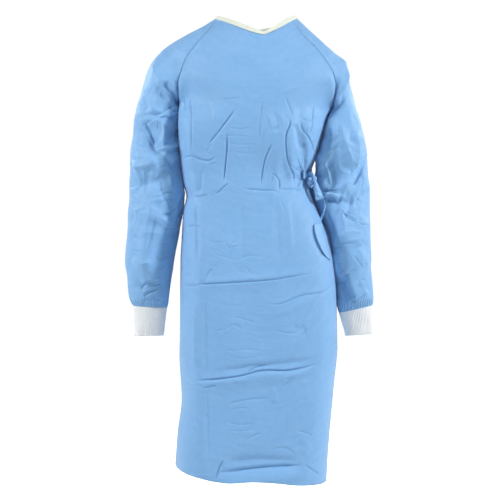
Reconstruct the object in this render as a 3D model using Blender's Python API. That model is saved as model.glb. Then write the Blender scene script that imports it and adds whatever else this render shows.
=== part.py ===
"""Surgical gown, worn on an unseen general figure: metres, +Z up, the front faces -Y.

The origin is the middle of the neck opening, level with the neck points, where the
shoulders carry the gown. The wearer's left is +X. Each cut piece is a thin wall on a
smooth form: a yoke of four sectors (front, back and two raglan sleeves) from the neck
down to the underarms, and three tubes below it. Drops are depths below the origin.
"""

import math
from collections import namedtuple

import bmesh
import bpy
import numpy as np

# Driving sizes
CLOTH = 0.0018
KNIT = 0.0025
TAPE = 0.0012
SEAM = 0.0003
BINDING_WIDTH = 0.0112
BINDING_DIP_WIDTH = 0.0075
BELT_DROP = 0.397
BELT_WIDTH = 0.028
BELT_CLOTH = 0.0014
FASTENER = 0.0022
OVERLAP_LIFT = 0.0075
CUFF_LENGTH = 0.072
STEP = 1e-4
FULL_ARCH = 4 / 3

YOKE_ROWS = 8
WAIST_ROWS = 5
SKIRT_ROWS = 21
BELT_ROW = YOKE_ROWS + WAIST_ROWS
SLEEVE_ROWS = 19
FRONT_COLUMNS = 26
INNER_BACK_COLUMNS = 12
OUTER_BACK_COLUMNS = 16
SLEEVE_COLUMNS = 22
CUFF_ROWS = 3

Side = namedtuple("Side", "sign name")
LEFT = Side(1, "left")
RIGHT = Side(-1, "right")

Profile = namedtuple("Profile", "drop front back")
PROFILE = [
    Profile(0.000, -0.070, 0.078),
    Profile(0.050, -0.080, 0.092),
    Profile(0.120, -0.104, 0.114),
    Profile(0.200, -0.124, 0.127),
    Profile(0.300, -0.131, 0.127),
    Profile(0.400, -0.119, 0.113),
    Profile(0.500, -0.125, 0.122),
    Profile(0.600, -0.138, 0.139),
    Profile(0.750, -0.148, 0.149),
    Profile(0.950, -0.150, 0.152),
    Profile(1.180, -0.146, 0.154),
]

SideSeam = namedtuple("SideSeam", "drop x")
SIDE_SEAMS = {
    "right": [
        SideSeam(0.220, -0.195),
        SideSeam(0.260, -0.197),
        SideSeam(0.310, -0.197),
        SideSeam(0.360, -0.193),
        SideSeam(0.415, -0.188),
        SideSeam(0.452, -0.178),
        SideSeam(0.485, -0.1850),
        SideSeam(0.560, -0.1895),
        SideSeam(0.610, -0.1925),
        SideSeam(0.750, -0.1935),
        SideSeam(0.850, -0.1945),
        SideSeam(0.955, -0.1905),
        SideSeam(1.030, -0.1990),
        SideSeam(1.115, -0.2060),
    ],
    "left": [
        SideSeam(0.2385, 0.180),
        SideSeam(0.260, 0.171),
        SideSeam(0.310, 0.157),
        SideSeam(0.360, 0.142),
        SideSeam(0.405, 0.129),
        SideSeam(0.452, 0.135),
        SideSeam(0.485, 0.146),
        SideSeam(0.520, 0.160),
        SideSeam(0.560, 0.175),
        SideSeam(0.610, 0.186),
        SideSeam(0.662, 0.191),
        SideSeam(0.750, 0.196),
        SideSeam(0.825, 0.1975),
        SideSeam(0.915, 0.1890),
        SideSeam(1.030, 0.1780),
        SideSeam(1.152, 0.1690),
    ],
}

Raglan = namedtuple("Raglan", "share x drop front_y back_y")
RAGLANS = {
    "right": [
        Raglan(0.00, -0.0965, 0.006, -0.022, 0.040),
        Raglan(0.15, -0.1235, 0.044, -0.045, 0.060),
        Raglan(0.30, -0.1524, 0.080, -0.062, 0.078),
        Raglan(0.45, -0.1743, 0.113, -0.074, 0.088),
        Raglan(0.60, -0.1870, 0.145, -0.074, 0.086),
        Raglan(0.80, -0.1962, 0.186, -0.050, 0.056),
        Raglan(1.00, -0.1950, 0.220, 0.000, 0.000),
    ],
    "left": [
        Raglan(0.00, 0.0805, 0.0080, -0.028, 0.040),
        Raglan(0.15, 0.1080, 0.052, -0.048, 0.060),
        Raglan(0.30, 0.1389, 0.086, -0.062, 0.078),
        Raglan(0.45, 0.1637, 0.120, -0.074, 0.088),
        Raglan(0.60, 0.1830, 0.153, -0.074, 0.086),
        Raglan(0.80, 0.1900, 0.194, -0.050, 0.056),
        Raglan(1.00, 0.1800, 0.2385, 0.000, 0.000),
    ],
}

YokeShape = namedtuple("YokeShape", "share middle_drop back_drop edge_angle shoulder_reach")
YOKE = [
    YokeShape(0.00, 0.053, 0.021, 20, 0.014),
    YokeShape(0.15, 0.078, 0.055, 36, 0.030),
    YokeShape(0.30, 0.105, 0.088, 44, 0.040),
    YokeShape(0.45, 0.132, 0.120, 42, 0.046),
    YokeShape(0.60, 0.160, 0.152, 32, 0.056),
    YokeShape(0.80, 0.195, 0.192, 15, 0.070),
    YokeShape(1.00, 0.229, 0.229, 0, 0.080),
]

Shoulder = namedtuple("Shoulder", "share x drop")
SHOULDERS = {
    "right": [
        Shoulder(0.00, -0.096, 0.000),
        Shoulder(0.15, -0.136, 0.026),
        Shoulder(0.30, -0.179, 0.0485),
        Shoulder(0.45, -0.218, 0.072),
        Shoulder(0.60, -0.249, 0.096),
        Shoulder(0.80, -0.275, 0.138),
        Shoulder(1.00, -0.293, 0.195),
    ],
    "left": [
        Shoulder(0.00, 0.092, 0.000),
        Shoulder(0.15, 0.122, 0.030),
        Shoulder(0.30, 0.152, 0.059),
        Shoulder(0.45, 0.184, 0.089),
        Shoulder(0.60, 0.213, 0.114),
        Shoulder(0.80, 0.222, 0.148),
        Shoulder(1.00, 0.235, 0.196),
    ],
}

SleeveRing = namedtuple("SleeveRing", "share inner_x inner_drop outer_x outer_drop depth middle_y")
SLEEVES = {
    "right": [
        SleeveRing(0.00, -0.1954, 0.2200, -0.2930, 0.195, 0.060, 0.000),
        SleeveRing(0.08, -0.1972, 0.2620, -0.3040, 0.245, 0.061, -0.014),
        SleeveRing(0.20, -0.1968, 0.3220, -0.3120, 0.312, 0.060, -0.024),
        SleeveRing(0.30, -0.1932, 0.3720, -0.3170, 0.366, 0.059, -0.026),
        SleeveRing(0.40, -0.1872, 0.4220, -0.3185, 0.420, 0.058, -0.025),
        SleeveRing(0.48, -0.1822, 0.4580, -0.3190, 0.460, 0.057, -0.024),
        SleeveRing(0.65, -0.1975, 0.5500, -0.3230, 0.552, 0.054, -0.024),
        SleeveRing(0.77, -0.2075, 0.6070, -0.3275, 0.612, 0.051, -0.026),
        SleeveRing(0.86, -0.2140, 0.6500, -0.3240, 0.652, 0.047, -0.028),
        SleeveRing(0.95, -0.2205, 0.7000, -0.3185, 0.702, 0.040, -0.031),
        SleeveRing(1.00, -0.2250, 0.7270, -0.3090, 0.723, 0.024, -0.032),
    ],
    "left": [
        SleeveRing(0.00, 0.1804, 0.2385, 0.2350, 0.196, 0.062, 0.000),
        SleeveRing(0.06, 0.1702, 0.2640, 0.2450, 0.230, 0.062, -0.014),
        SleeveRing(0.14, 0.1602, 0.3000, 0.2545, 0.275, 0.061, -0.025),
        SleeveRing(0.22, 0.1482, 0.3380, 0.2630, 0.318, 0.060, -0.028),
        SleeveRing(0.30, 0.1432, 0.3720, 0.2695, 0.360, 0.059, -0.022),
        SleeveRing(0.38, 0.1440, 0.4020, 0.2745, 0.400, 0.058, -0.016),
        SleeveRing(0.46, 0.1345, 0.4400, 0.2780, 0.442, 0.057, -0.016),
        SleeveRing(0.54, 0.1455, 0.4820, 0.2785, 0.485, 0.056, -0.020),
        SleeveRing(0.62, 0.1610, 0.5220, 0.2785, 0.525, 0.054, -0.025),
        SleeveRing(0.70, 0.1760, 0.5650, 0.2790, 0.568, 0.052, -0.029),
        SleeveRing(0.78, 0.1862, 0.6120, 0.2790, 0.612, 0.050, -0.031),
        SleeveRing(0.86, 0.1910, 0.6550, 0.2820, 0.652, 0.046, -0.032),
        SleeveRing(0.95, 0.1940, 0.7100, 0.2850, 0.698, 0.039, -0.033),
        SleeveRing(1.00, 0.2000, 0.7400, 0.2835, 0.721, 0.024, -0.034),
    ],
}

CuffEnd = namedtuple("CuffEnd", "inner_x inner_drop outer_x outer_drop depth middle_y")
CUFF_ENDS = {
    "right": CuffEnd(-0.2335, 0.7960, -0.3070, 0.7965, 0.019, -0.036),
    "left": CuffEnd(0.2155, 0.7965, 0.2835, 0.7920, 0.019, -0.037),
}

Wrap = namedtuple("Wrap", "level outer_end inner_end")
WRAPS = [
    Wrap(0.0, 0.66, 0.40),
    Wrap(0.5, 0.72, 0.36),
    Wrap(1.0, 0.80, 0.32),
    Wrap(1.2, 0.85, 0.30),
    Wrap(1.5, 0.82, 0.30),
    Wrap(2.0, 0.78, 0.30),
]

TailRow = namedtuple("TailRow", "drop left_x right_x lift")
TAIL = [
    TailRow(0.526, 0.1370, 0.1535, 0.0030),
    TailRow(0.540, 0.1385, 0.1560, 0.0018),
    TailRow(0.560, 0.1440, 0.1610, 0.0012),
    TailRow(0.580, 0.1520, 0.1665, 0.0012),
    TailRow(0.594, 0.1590, 0.1700, 0.0014),
    TailRow(0.604, 0.1670, 0.1725, 0.0018),
    TailRow(0.608, 0.1710, 0.1735, 0.0020),
]
CordPlace = namedtuple("CordPlace", "x y drop half_width")
TAIL_CORD = [
    CordPlace(0.1347, -0.0645, 0.4322, 0.0030),
    CordPlace(0.1480, -0.0640, 0.4480, 0.0028),
    CordPlace(0.1590, -0.0660, 0.4590, 0.0026),
    CordPlace(0.1625, -0.0665, 0.4670, 0.0026),
    CordPlace(0.1630, -0.0655, 0.4790, 0.0026),
    CordPlace(0.1605, -0.0630, 0.4910, 0.0026),
    CordPlace(0.1570, -0.0600, 0.5020, 0.0030),
    CordPlace(0.1510, -0.0620, 0.5140, 0.0050),
]
LoopPlace = namedtuple("LoopPlace", "along out half_width")
LOOP = [
    LoopPlace(0.004, 0.0018, 0.0050),
    LoopPlace(0.018, 0.0034, 0.0068),
    LoopPlace(0.036, 0.0050, 0.0095),
    LoopPlace(0.050, 0.0052, 0.0105),
    LoopPlace(0.057, 0.0030, 0.0108),
    LoopPlace(0.059, 0.0000, 0.0108),
    LoopPlace(0.057, -0.0030, 0.0106),
    LoopPlace(0.050, -0.0052, 0.0102),
    LoopPlace(0.036, -0.0048, 0.0090),
    LoopPlace(0.020, -0.0049, 0.0065),
    LoopPlace(0.010, -0.0049, 0.0050),
]
LOOP_TOP = (0.1350, -0.0785, -0.4050)
LOOP_WAY = (0.2700, 0.0000, -0.9630)
KNOT = (0.1310, -0.0640, -0.4130)
KNOT_SIZE = (0.0095, 0.0085, 0.0190)

Hem = namedtuple("Hem", "share front back")
HEM = [
    Hem(0.000, 1.1150, 1.115),
    Hem(0.154, 1.1302, 1.121),
    Hem(0.265, 1.1387, 1.126),
    Hem(0.362, 1.1419, 1.130),
    Hem(0.510, 1.1390, 1.135),
    Hem(0.660, 1.1419, 1.140),
    Hem(0.800, 1.1485, 1.145),
    Hem(1.000, 1.1520, 1.152),
]
NECK_LOW_X = 0.014

# A fold lies along a line seen from the front: it stands out where its height is
# positive. Its width is the half width at which it has mostly died away.
Fold = namedtuple("Fold", "x0 drop0 x1 drop1 width height")
FRONT_FOLDS = [
    Fold(-0.140, 0.480, -0.135, 1.120, 0.030, 0.005),
    Fold(-0.130, 0.670, 0.135, 0.642, 0.022, 0.0035),
    Fold(-0.140, 0.905, 0.140, 0.878, 0.022, 0.004),
    Fold(-0.100, 1.145, 0.110, 1.125, 0.022, 0.006),
    Fold(0.020, 0.740, 0.170, 0.690, 0.022, 0.0035),
    Fold(0.100, 0.250, 0.112, 0.400, 0.016, -0.006),
    Fold(0.050, 0.310, 0.035, 0.460, 0.018, 0.005),
    Fold(-0.060, 0.240, -0.125, 0.340, 0.018, -0.004),
    Fold(-0.080, 0.300, -0.085, 0.420, 0.018, -0.004),
    Fold(-0.165, 0.220, -0.160, 0.380, 0.014, 0.004),
    Fold(0.070, 0.280, 0.085, 0.440, 0.015, 0.005),
]
BACK_FOLDS = [
    Fold(-0.100, 0.180, -0.020, 0.400, 0.030, -0.005),
    Fold(0.090, 0.180, 0.040, 0.400, 0.028, -0.005),
    Fold(-0.150, 0.500, -0.120, 1.120, 0.030, 0.006),
    Fold(-0.050, 0.460, -0.040, 1.120, 0.032, -0.006),
    Fold(0.060, 0.460, 0.050, 1.120, 0.030, 0.006),
    Fold(0.135, 0.520, 0.120, 1.120, 0.030, -0.005),
]
SLEEVE_FOLDS = {
    "right": [
        Fold(-0.248, 0.170, -0.200, 0.235, 0.020, -0.012),
        Fold(-0.285, 0.270, -0.215, 0.262, 0.018, 0.009),
        Fold(-0.270, 0.290, -0.235, 0.370, 0.020, -0.009),
        Fold(-0.290, 0.380, -0.205, 0.350, 0.020, 0.010),
        Fold(-0.300, 0.430, -0.235, 0.410, 0.020, -0.007),
        Fold(-0.285, 0.490, -0.215, 0.520, 0.020, 0.008),
        Fold(-0.270, 0.540, -0.265, 0.660, 0.022, 0.006),
        Fold(-0.305, 0.672, -0.240, 0.668, 0.016, -0.006),
    ],
    "left": [
        Fold(0.200, 0.210, 0.235, 0.180, 0.016, -0.008),
        Fold(0.225, 0.260, 0.255, 0.330, 0.022, 0.006),
        Fold(0.185, 0.470, 0.235, 0.470, 0.018, -0.010),
        Fold(0.200, 0.440, 0.250, 0.400, 0.020, 0.008),
        Fold(0.230, 0.500, 0.270, 0.530, 0.018, 0.006),
        Fold(0.225, 0.590, 0.265, 0.570, 0.022, -0.006),
        Fold(0.215, 0.640, 0.240, 0.715, 0.018, 0.007),
    ],
}

BLUE = ("gown cloth", (0.27, 0.50, 0.83), 0.62)
BELT_BLUE = ("belt cloth", (0.30, 0.54, 0.88), 0.60)
KNIT_WHITE = ("knitted cuff", (0.76, 0.77, 0.79), 0.90)
CREAM = ("neck binding", (0.80, 0.81, 0.70), 0.80)
TAPE_WHITE = ("hook and loop", (0.82, 0.83, 0.84), 0.85)


def clear_scene():
    for obj in list(bpy.data.objects):
        bpy.data.objects.remove(obj)


def read(table, column, at):
    """A column of a table at places between its rows: smooth, with no overshoot."""
    places = np.array([row[0] for row in table], float)
    values = np.array([getattr(row, column) for row in table], float)
    at = np.clip(at, places[0], places[-1])
    steps = np.diff(places)
    slopes = np.diff(values) / steps
    tangents = np.concatenate([slopes[:1], np.zeros(len(slopes) - 1), slopes[-1:]])
    before, after = slopes[:-1], slopes[1:]
    same = before * after > 0
    tangents[1:-1][same] = 2 * before[same] * after[same] / (before + after)[same]
    index = np.clip(np.searchsorted(places, at, side="right") - 1, 0, len(steps) - 1)
    width = steps[index]
    t = (at - places[index]) / width
    start, end = values[index], values[index + 1]
    rise = (tangents[index], tangents[index + 1])
    return (
        start * (1 + 2 * t) * (1 - t) ** 2
        + end * t * t * (3 - 2 * t)
        + width * (rise[0] * t * (1 - t) ** 2 - rise[1] * t * t * (1 - t))
    )


def ease(t):
    t = np.clip(t, 0, 1)
    return t * t * (3 - 2 * t)


def mix(a, b, share):
    return a + (b - a) * share


def unit(vectors):
    return vectors / np.maximum(np.linalg.norm(vectors, axis=-1, keepdims=True), 1e-12)


def points(x, y, z):
    return np.stack(np.broadcast_arrays(x, y, z), axis=-1)


def seam_point(side, share, facing):
    """The raglan seam in front (facing -1) or behind (facing +1)."""
    table = RAGLANS[side.name]
    column = "front_y" if facing < 0 else "back_y"
    return points(
        read(table, "x", share), read(table, column, share), -read(table, "drop", share)
    )


def half_arc(share_across, edge_angle, boxiness):
    """Place across (0 to 1) and bulge (0 at the edges, 1 in the middle) on an arc."""
    angle = (math.pi - edge_angle) - (math.pi - 2 * edge_angle) * share_across
    across = (1 + np.cos(angle) / np.cos(edge_angle)) / 2
    low = np.sin(edge_angle) ** boxiness
    bulge = (np.maximum(np.sin(angle), 0) ** boxiness - low) / (1 - low)
    return across, bulge


def body_base(u, v, facing):
    """Front (facing -1) or back (+1) of the body: u from the wearer's right to the
    left, v from 0 at the neck to 1 at the underarms and 2 at the hem."""
    u, v = np.broadcast_arrays(np.asarray(u, float), np.asarray(v, float))
    share = np.minimum(v, 1)
    below = np.maximum(v - 1, 0)
    column = "front" if facing < 0 else "back"
    edge_angle = np.radians(read(YOKE, "edge_angle", share))
    boxiness = mix(1.0, 0.82, share)
    across, bulge = half_arc(u, edge_angle, boxiness)
    ends = [seam_point(side, share, facing) for side in (RIGHT, LEFT)]
    chord = mix(ends[0], ends[1], across[..., None])
    middle = (ends[0] + ends[1]) / 2
    drop_name = "middle_drop" if facing < 0 else "back_drop"
    middle_drop = read(YOKE, drop_name, share)
    sharpness = mix(1.15, 2.0, ease(share * 3))
    low_x = NECK_LOW_X * (1 - ease(share * 2)) if facing < 0 else 0
    reach = np.where(chord[..., 0] > low_x, ends[1][..., 0] - low_x, low_x - ends[0][..., 0])
    sag = 1 - np.clip(np.abs(chord[..., 0] - low_x) / reach, 0, 1) ** sharpness
    drop = -chord[..., 2] + (middle_drop + middle[..., 2]) * sag
    yoke = points(
        chord[..., 0],
        chord[..., 1] + (read(PROFILE, column, middle_drop) - middle[..., 1]) * bulge,
        -drop,
    )
    drop = mix(drop, read(HEM, column, across), below)
    seams = [SIDE_SEAMS[side.name] for side in (RIGHT, LEFT)]
    side_x = [read(seam, "x", mix(seam[0].drop, seam[-1].drop, below)) for seam in seams]
    skirt = points(
        mix(side_x[0], side_x[1], across), read(PROFILE, column, drop) * bulge, -drop
    )
    return np.where((v <= 1)[..., None], yoke, skirt)


def arch(start, start_way, end, end_way, t):
    """Cubic curve between two points, with the handle vectors at its ends."""
    t = t[..., None]
    one, two = start + start_way, end + end_way
    return (
        start * (1 - t) ** 3
        + 3 * one * t * (1 - t) ** 2
        + 3 * two * t * t * (1 - t)
        + end * t**3
    )


def sleeve_base(side, a, v):
    """A sleeve: a from the front seam (0) over the arm (0.5) to the back seam (1),
    v from 0 at the neck to 1 at the underarm and 2 at the wrist."""
    a, v = np.broadcast_arrays(np.asarray(a, float), np.asarray(v, float))
    share = np.minimum(v, 1)
    below = np.maximum(v - 1, 0)
    in_front = a <= 0.5
    facing = np.where(in_front, -1.0, 1.0)
    t = np.where(in_front, 2 * a, 2 - 2 * a)
    u_edge = 1.0 if side.sign > 0 else 0.0
    u_inside = u_edge - side.sign * 0.01
    starts, ways = [], []
    for way in (-1, 1):
        edge = seam_point(side, share, way)
        tangent = unit(edge - body_base(u_inside, np.minimum(share, 1), way))
        valley = ease((share - 0.45) / 0.55)[..., None]
        outward = np.array([side.sign, 0.0, 0.0])
        gap_way = unit(mix(tangent, outward, valley))
        starts.append(edge + gap_way * SEAM)
        turned = mix(tangent, np.array([side.sign * 0.25, way, 0.0]), valley)
        closing = (share >= 1)[..., None]
        ways.append(unit(np.where(closing, np.array([0.0, way, 0.0]), turned)))
    start = np.where(in_front[..., None], starts[0], starts[1])
    way_out = np.where(in_front[..., None], ways[0], ways[1])
    shoulder = SHOULDERS[side.name]
    top = points(read(shoulder, "x", share), 0.004, -read(shoulder, "drop", share))
    ring = SLEEVES[side.name]
    depth = read(ring, "depth", below)
    middle_y = read(ring, "middle_y", below)
    lower_start = points(
        read(ring, "inner_x", below), middle_y, -read(ring, "inner_drop", below)
    )
    lower_top = points(
        read(ring, "outer_x", below),
        middle_y + 0.004 * (1 - below),
        -read(ring, "outer_drop", below),
    )
    yoke_row = (v < 1)[..., None]
    begin = np.where(yoke_row, start, lower_start)
    end = np.where(yoke_row, top, lower_top)
    distance = np.linalg.norm(end - begin, axis=-1)
    start_reach = mix(0.38 * distance, FULL_ARCH * depth, ease((share - 0.4) / 0.6))
    reach = read(YOKE, "shoulder_reach", share)
    end_reach = np.where(v < 1, reach, FULL_ARCH * depth)
    along = facing[..., None] * np.array([0.0, 1.0, 0.0])
    return arch(begin, way_out * start_reach[..., None], end, along * end_reach[..., None], t)


def fold_height(folds, place):
    """Sum of the folds at points, read from the front view."""
    total = np.zeros(place.shape[:-1])
    for fold in folds:
        start = np.array([fold.x0, -fold.drop0])
        run = np.array([fold.x1, -fold.drop1]) - start
        offset = place[..., [0, 2]] - start
        share = np.clip(offset @ run / (run @ run), 0, 1)
        away = np.linalg.norm(offset - share[..., None] * run, axis=-1)
        taper = 0.35 + 0.65 * np.sin(math.pi * share)
        total += fold.height * taper * np.exp(-((away / fold.width) ** 2) * 2)
    return total


def normals(form, u, v, low=(0, 0), high=(1, 2)):
    """Outward or inward unit normals of a form, from small steps inside its range."""
    u, v = np.broadcast_arrays(np.asarray(u, float), np.asarray(v, float))
    u0, u1 = np.maximum(u - STEP, low[0]), np.minimum(u + STEP, high[0])
    v0, v1 = np.maximum(v - STEP, low[1]), np.minimum(v + STEP, high[1])
    above = np.where(v >= 1, np.maximum(v0, 1), v0)
    beneath = np.where(v < 1, np.minimum(v1, 1 - 1e-9), v1)
    across = form(u1, v) - form(u0, v)
    along = form(u, beneath) - form(u, above)
    return unit(np.cross(across, along))


def body_form(facing, folds):
    """The folded surface of the front or back, as a function of u and v."""

    def form(u, v):
        place = body_base(u, v, facing)
        out = normals(lambda p, q: body_base(p, q, facing), u, v) * facing
        edge = ease(np.minimum(u, 1 - u) / 0.10) * ease(v / 0.5)
        return place + out * (fold_height(folds, place) * edge)[..., None]

    return form


def body_out(form, u, v, facing):
    return normals(form, u, v) * facing


def sleeve_form(side):
    """The folded surface of a sleeve, as a function of a and v."""
    sense = -side.sign

    def base(a, v):
        return sleeve_base(side, a, v)

    def form(a, v):
        place = base(a, v)
        out = normals(base, a, v) * sense
        around = np.minimum(a, 1 - a)
        fade = ease(around / 0.10) * ease((v - 0.55) / 0.3) * ease((2 - v) / 0.08)
        height = fold_height(SLEEVE_FOLDS[side.name], place)
        height = np.where(np.asarray(a) > 0.5, height * 0.7, height)
        return place + out * (height * fade)[..., None]

    return form


def sleeve_out(form, a, v, side):
    return normals(form, a, v) * (-side.sign)


def add_material(obj, finish):
    name, colour, roughness = finish
    material = bpy.data.materials.get(name) or bpy.data.materials.new(name)
    material.use_nodes = True
    shader = material.node_tree.nodes["Principled BSDF"]
    shader.inputs["Base Color"].default_value = (*colour, 1)
    shader.inputs["Roughness"].default_value = roughness
    shader.inputs["Metallic"].default_value = 0
    obj.data.materials.append(material)


def add_object(name, bm, finish):
    bmesh.ops.recalc_face_normals(bm, faces=bm.faces)
    mesh = bpy.data.meshes.new(name)
    bm.to_mesh(mesh)
    bm.free()
    mesh.shade_smooth()
    mesh.set_sharp_from_angle(angle=math.radians(40))
    obj = bpy.data.objects.new(name, mesh)
    bpy.context.scene.collection.objects.link(obj)
    add_material(obj, finish)
    return obj


def add_wall(name, outer, inner, finish, closed_from=None):
    """A wall between two grids of points. From the row closed_from on, the last
    column is the first again, so that the rows are rings."""
    rows, columns = outer.shape[:2]
    bm = bmesh.new()
    skins = []
    for grid in (outer, inner):
        skin = []
        for r in range(rows):
            closed = closed_from is not None and r >= closed_from
            made = [bm.verts.new(grid[r, c]) for c in range(columns - closed)]
            skin.append(made + made[:1] * closed)
        skins.append(skin)
    face, back = skins
    partner = {}
    for r in range(rows):
        for c in range(columns):
            partner[face[r][c]] = back[r][c]
    outside = []
    for r in range(rows - 1):
        for c in range(columns - 1):
            corners = [face[r][c], face[r + 1][c], face[r + 1][c + 1], face[r][c + 1]]
            outside.append(bm.faces.new(corners))
            bm.faces.new([partner[corner] for corner in reversed(corners)])
    rims = [(e.link_loops[0].vert, e.link_loops[0].link_loop_next.vert)
            for f in outside for e in f.edges if len(e.link_faces) == 1]
    for one, two in rims:
        bm.faces.new([two, one, partner[one], partner[two]])
    return add_object(name, bm, finish)


def level_at(u, drop, facing):
    """The level, below the underarm, where the body reaches a drop."""
    under = -body_base(u, 1.0, facing)[..., 2]
    hem = -body_base(u, 2.0, facing)[..., 2]
    return 1 + (drop - under) / (hem - under)


def row_levels(form, u, marks, band=BINDING_WIDTH):
    """Levels of the rows under each place of u. The second row lies at the lower edge
    of the neck binding, so that the binding's faces match the panel's. Below the
    underarm each mark is a level to reach and a number of rows to do it in."""
    top = np.zeros(u.shape)
    speed = np.linalg.norm(form(u, top + 0.03) - form(u, top), axis=-1) / 0.03
    bands = [top[None], mix(band / speed, 1, np.linspace(0, 1, YOKE_ROWS)[:, None])]
    for level, rows in marks:
        shares = np.linspace(0, 1, rows + 1)[1:, None]
        bands.append(mix(bands[-1][-1], level, shares))
    return np.concatenate(bands)


def body_marks(u, facing):
    """Rows of a body panel: two of them are the upper and lower edges of the belt."""
    upper = level_at(u, BELT_DROP - BELT_WIDTH / 2, facing)
    lower = level_at(u, BELT_DROP + BELT_WIDTH / 2, facing)
    return [(upper, WAIST_ROWS), (lower, 1), (2.0, SKIRT_ROWS)]


def edge_shift(v, facing):
    """Half the seam gap between front and back, along the side seams."""
    return ease((v - 0.9) / 0.1) * facing * SEAM / 2


def wrap_ends(v):
    return read(WRAPS, "outer_end", v), read(WRAPS, "inner_end", v)


def wrap_lift(u, v):
    """How far the outer back panel stands off the line that the inner one follows."""
    inner_end = wrap_ends(v)[1]
    return OVERLAP_LIFT * ease((u - (inner_end - 0.13)) / 0.12)


def add_body_panel(name, form, u, v, facing, lift):
    """One body panel on its grid of u and v, moved out by lift. It returns its outer
    points and normals, for what is sewn on it."""
    outer = form(u, v)
    out = body_out(form, u, v, facing)
    outer[..., 1] += edge_shift(v, facing)
    outer = outer + out * lift[..., None]
    add_wall(name, outer, outer - out * CLOTH, BLUE)
    return outer, out


def add_front():
    form = body_form(-1, FRONT_FOLDS)
    u = np.linspace(0, 1, FRONT_COLUMNS + 1)
    dip = np.exp(-(((u - 0.62) / 0.10) ** 2))
    band = mix(BINDING_WIDTH, BINDING_DIP_WIDTH, dip)
    v = row_levels(form, u, body_marks(u, -1), band)
    return add_body_panel("front", form, np.broadcast_to(u, v.shape), v, -1, 0 * v)


def add_outer_back():
    form = body_form(1, BACK_FOLDS)
    share = np.linspace(0, 1, OUTER_BACK_COLUMNS + 1)
    v = row_levels(form, share * wrap_ends(0.0)[0], body_marks(share * wrap_ends(1.2)[0], 1))
    u = share * wrap_ends(v)[0]
    return add_body_panel("back_right", form, u, v, 1, wrap_lift(u, v))


def add_inner_back():
    form = body_form(1, BACK_FOLDS)
    share = np.linspace(0, 1, INNER_BACK_COLUMNS + 1)
    marks = body_marks(1 - (1 - wrap_ends(1.2)[1]) * share, 1)
    v = row_levels(form, 1 - (1 - wrap_ends(0.0)[1]) * share, marks)
    u = 1 - (1 - wrap_ends(v)[1]) * share
    return add_body_panel("back_left", form, u, v, 1, 0 * v)


def add_sleeve(side):
    """A sleeve. It returns its outer points and normals."""
    form = sleeve_form(side)
    a = np.linspace(0, 1, SLEEVE_COLUMNS + 1)
    v = row_levels(form, a, [(2.0, SLEEVE_ROWS)])
    a = np.broadcast_to(a, v.shape)
    outer = form(a, v)
    out = sleeve_out(form, a, v, side)
    for skin in (outer, out):
        skin[YOKE_ROWS:, -1] = skin[YOKE_ROWS:, 0]
    add_wall(f"sleeve_{side.name}", outer, outer - out * CLOTH, BLUE, closed_from=YOKE_ROWS)
    return outer, out


def add_cuff(side, top, top_out):
    """The knitted cuff: it carries on from the sleeve's last ring, and narrows."""
    end = CUFF_ENDS[side.name]
    a = np.linspace(0, 1, SLEEVE_COLUMNS + 1)
    in_front = a <= 0.5
    facing = np.where(in_front, -1.0, 1.0)[:, None]
    start = np.array([end.inner_x, end.middle_y, -end.inner_drop])
    finish = np.array([end.outer_x, end.middle_y, -end.outer_drop])
    handle = facing * np.array([0.0, FULL_ARCH * end.depth, 0.0])
    bottom = arch(start, handle, finish, handle, np.where(in_front, 2 * a, 2 - 2 * a))
    top = top + unit(bottom - top) * SEAM
    shares = np.linspace(0, 1, CUFF_ROWS + 1)[:, None, None]
    outer = mix(top[None], bottom[None], shares)
    along = np.roll(bottom[:-1], -1, axis=0) - np.roll(bottom[:-1], 1, axis=0)
    along = np.concatenate([along, along[:1]])
    bottom_out = unit(np.cross(along, bottom - top))
    bottom_out *= np.sign(np.sum(bottom_out * top_out, axis=1, keepdims=True))
    out = unit(mix(top_out[None], bottom_out[None], ease(shares * 2)))
    add_wall(f"cuff_{side.name}", outer, outer - out * KNIT, KNIT_WHITE, closed_from=0)


def join_rows(runs):
    """The top rows of neighbouring panels as one run, with each seam's two edges
    made one."""
    places, outs = runs[0]
    for more_places, more_outs in runs[1:]:
        places = np.concatenate(
            [places[:, :-1], (places[:, -1:] + more_places[:, :1]) / 2, more_places[:, 1:]],
            axis=1,
        )
        outs = np.concatenate(
            [outs[:, :-1], unit(outs[:, -1:] + more_outs[:, :1]), more_outs[:, 1:]], axis=1
        )
    return places, outs


def add_binding(runs):
    """Tape folded over the neck edge, outside and inside."""
    places, outs = join_rows(runs)
    edge, low = places
    edge_out, low_out = outs
    up = unit(edge - low)
    near, far = SEAM, SEAM + TAPE
    inner = -CLOTH
    sections = [
        low + low_out * far,
        edge + edge_out * far + up * far,
        edge + edge_out * (inner - far) + up * far,
        low + low_out * (inner - far),
        low + low_out * (inner - near),
        edge + edge_out * (inner - near) + up * near,
        edge + edge_out * near + up * near,
        low + low_out * near,
    ]
    bm = bmesh.new()
    lines = [[bm.verts.new(place) for place in line] for line in sections]
    for one, two in zip(lines, lines[1:] + lines[:1]):
        for k in range(len(one) - 1):
            bm.faces.new([one[k], one[k + 1], two[k + 1], two[k]])
    for k in (0, -1):
        for corners in ((0, 1, 6, 7), (1, 2, 5, 6), (2, 3, 4, 5)):
            bm.faces.new([lines[corner][k] for corner in corners])
    add_object("neck_binding", bm, CREAM)


def neck_rows(panel, turned=False):
    """The two top rows of a panel's points and normals, turned round if asked."""
    step = -1 if turned else 1
    return panel[0][:2, ::step], panel[1][:2, ::step]


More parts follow.
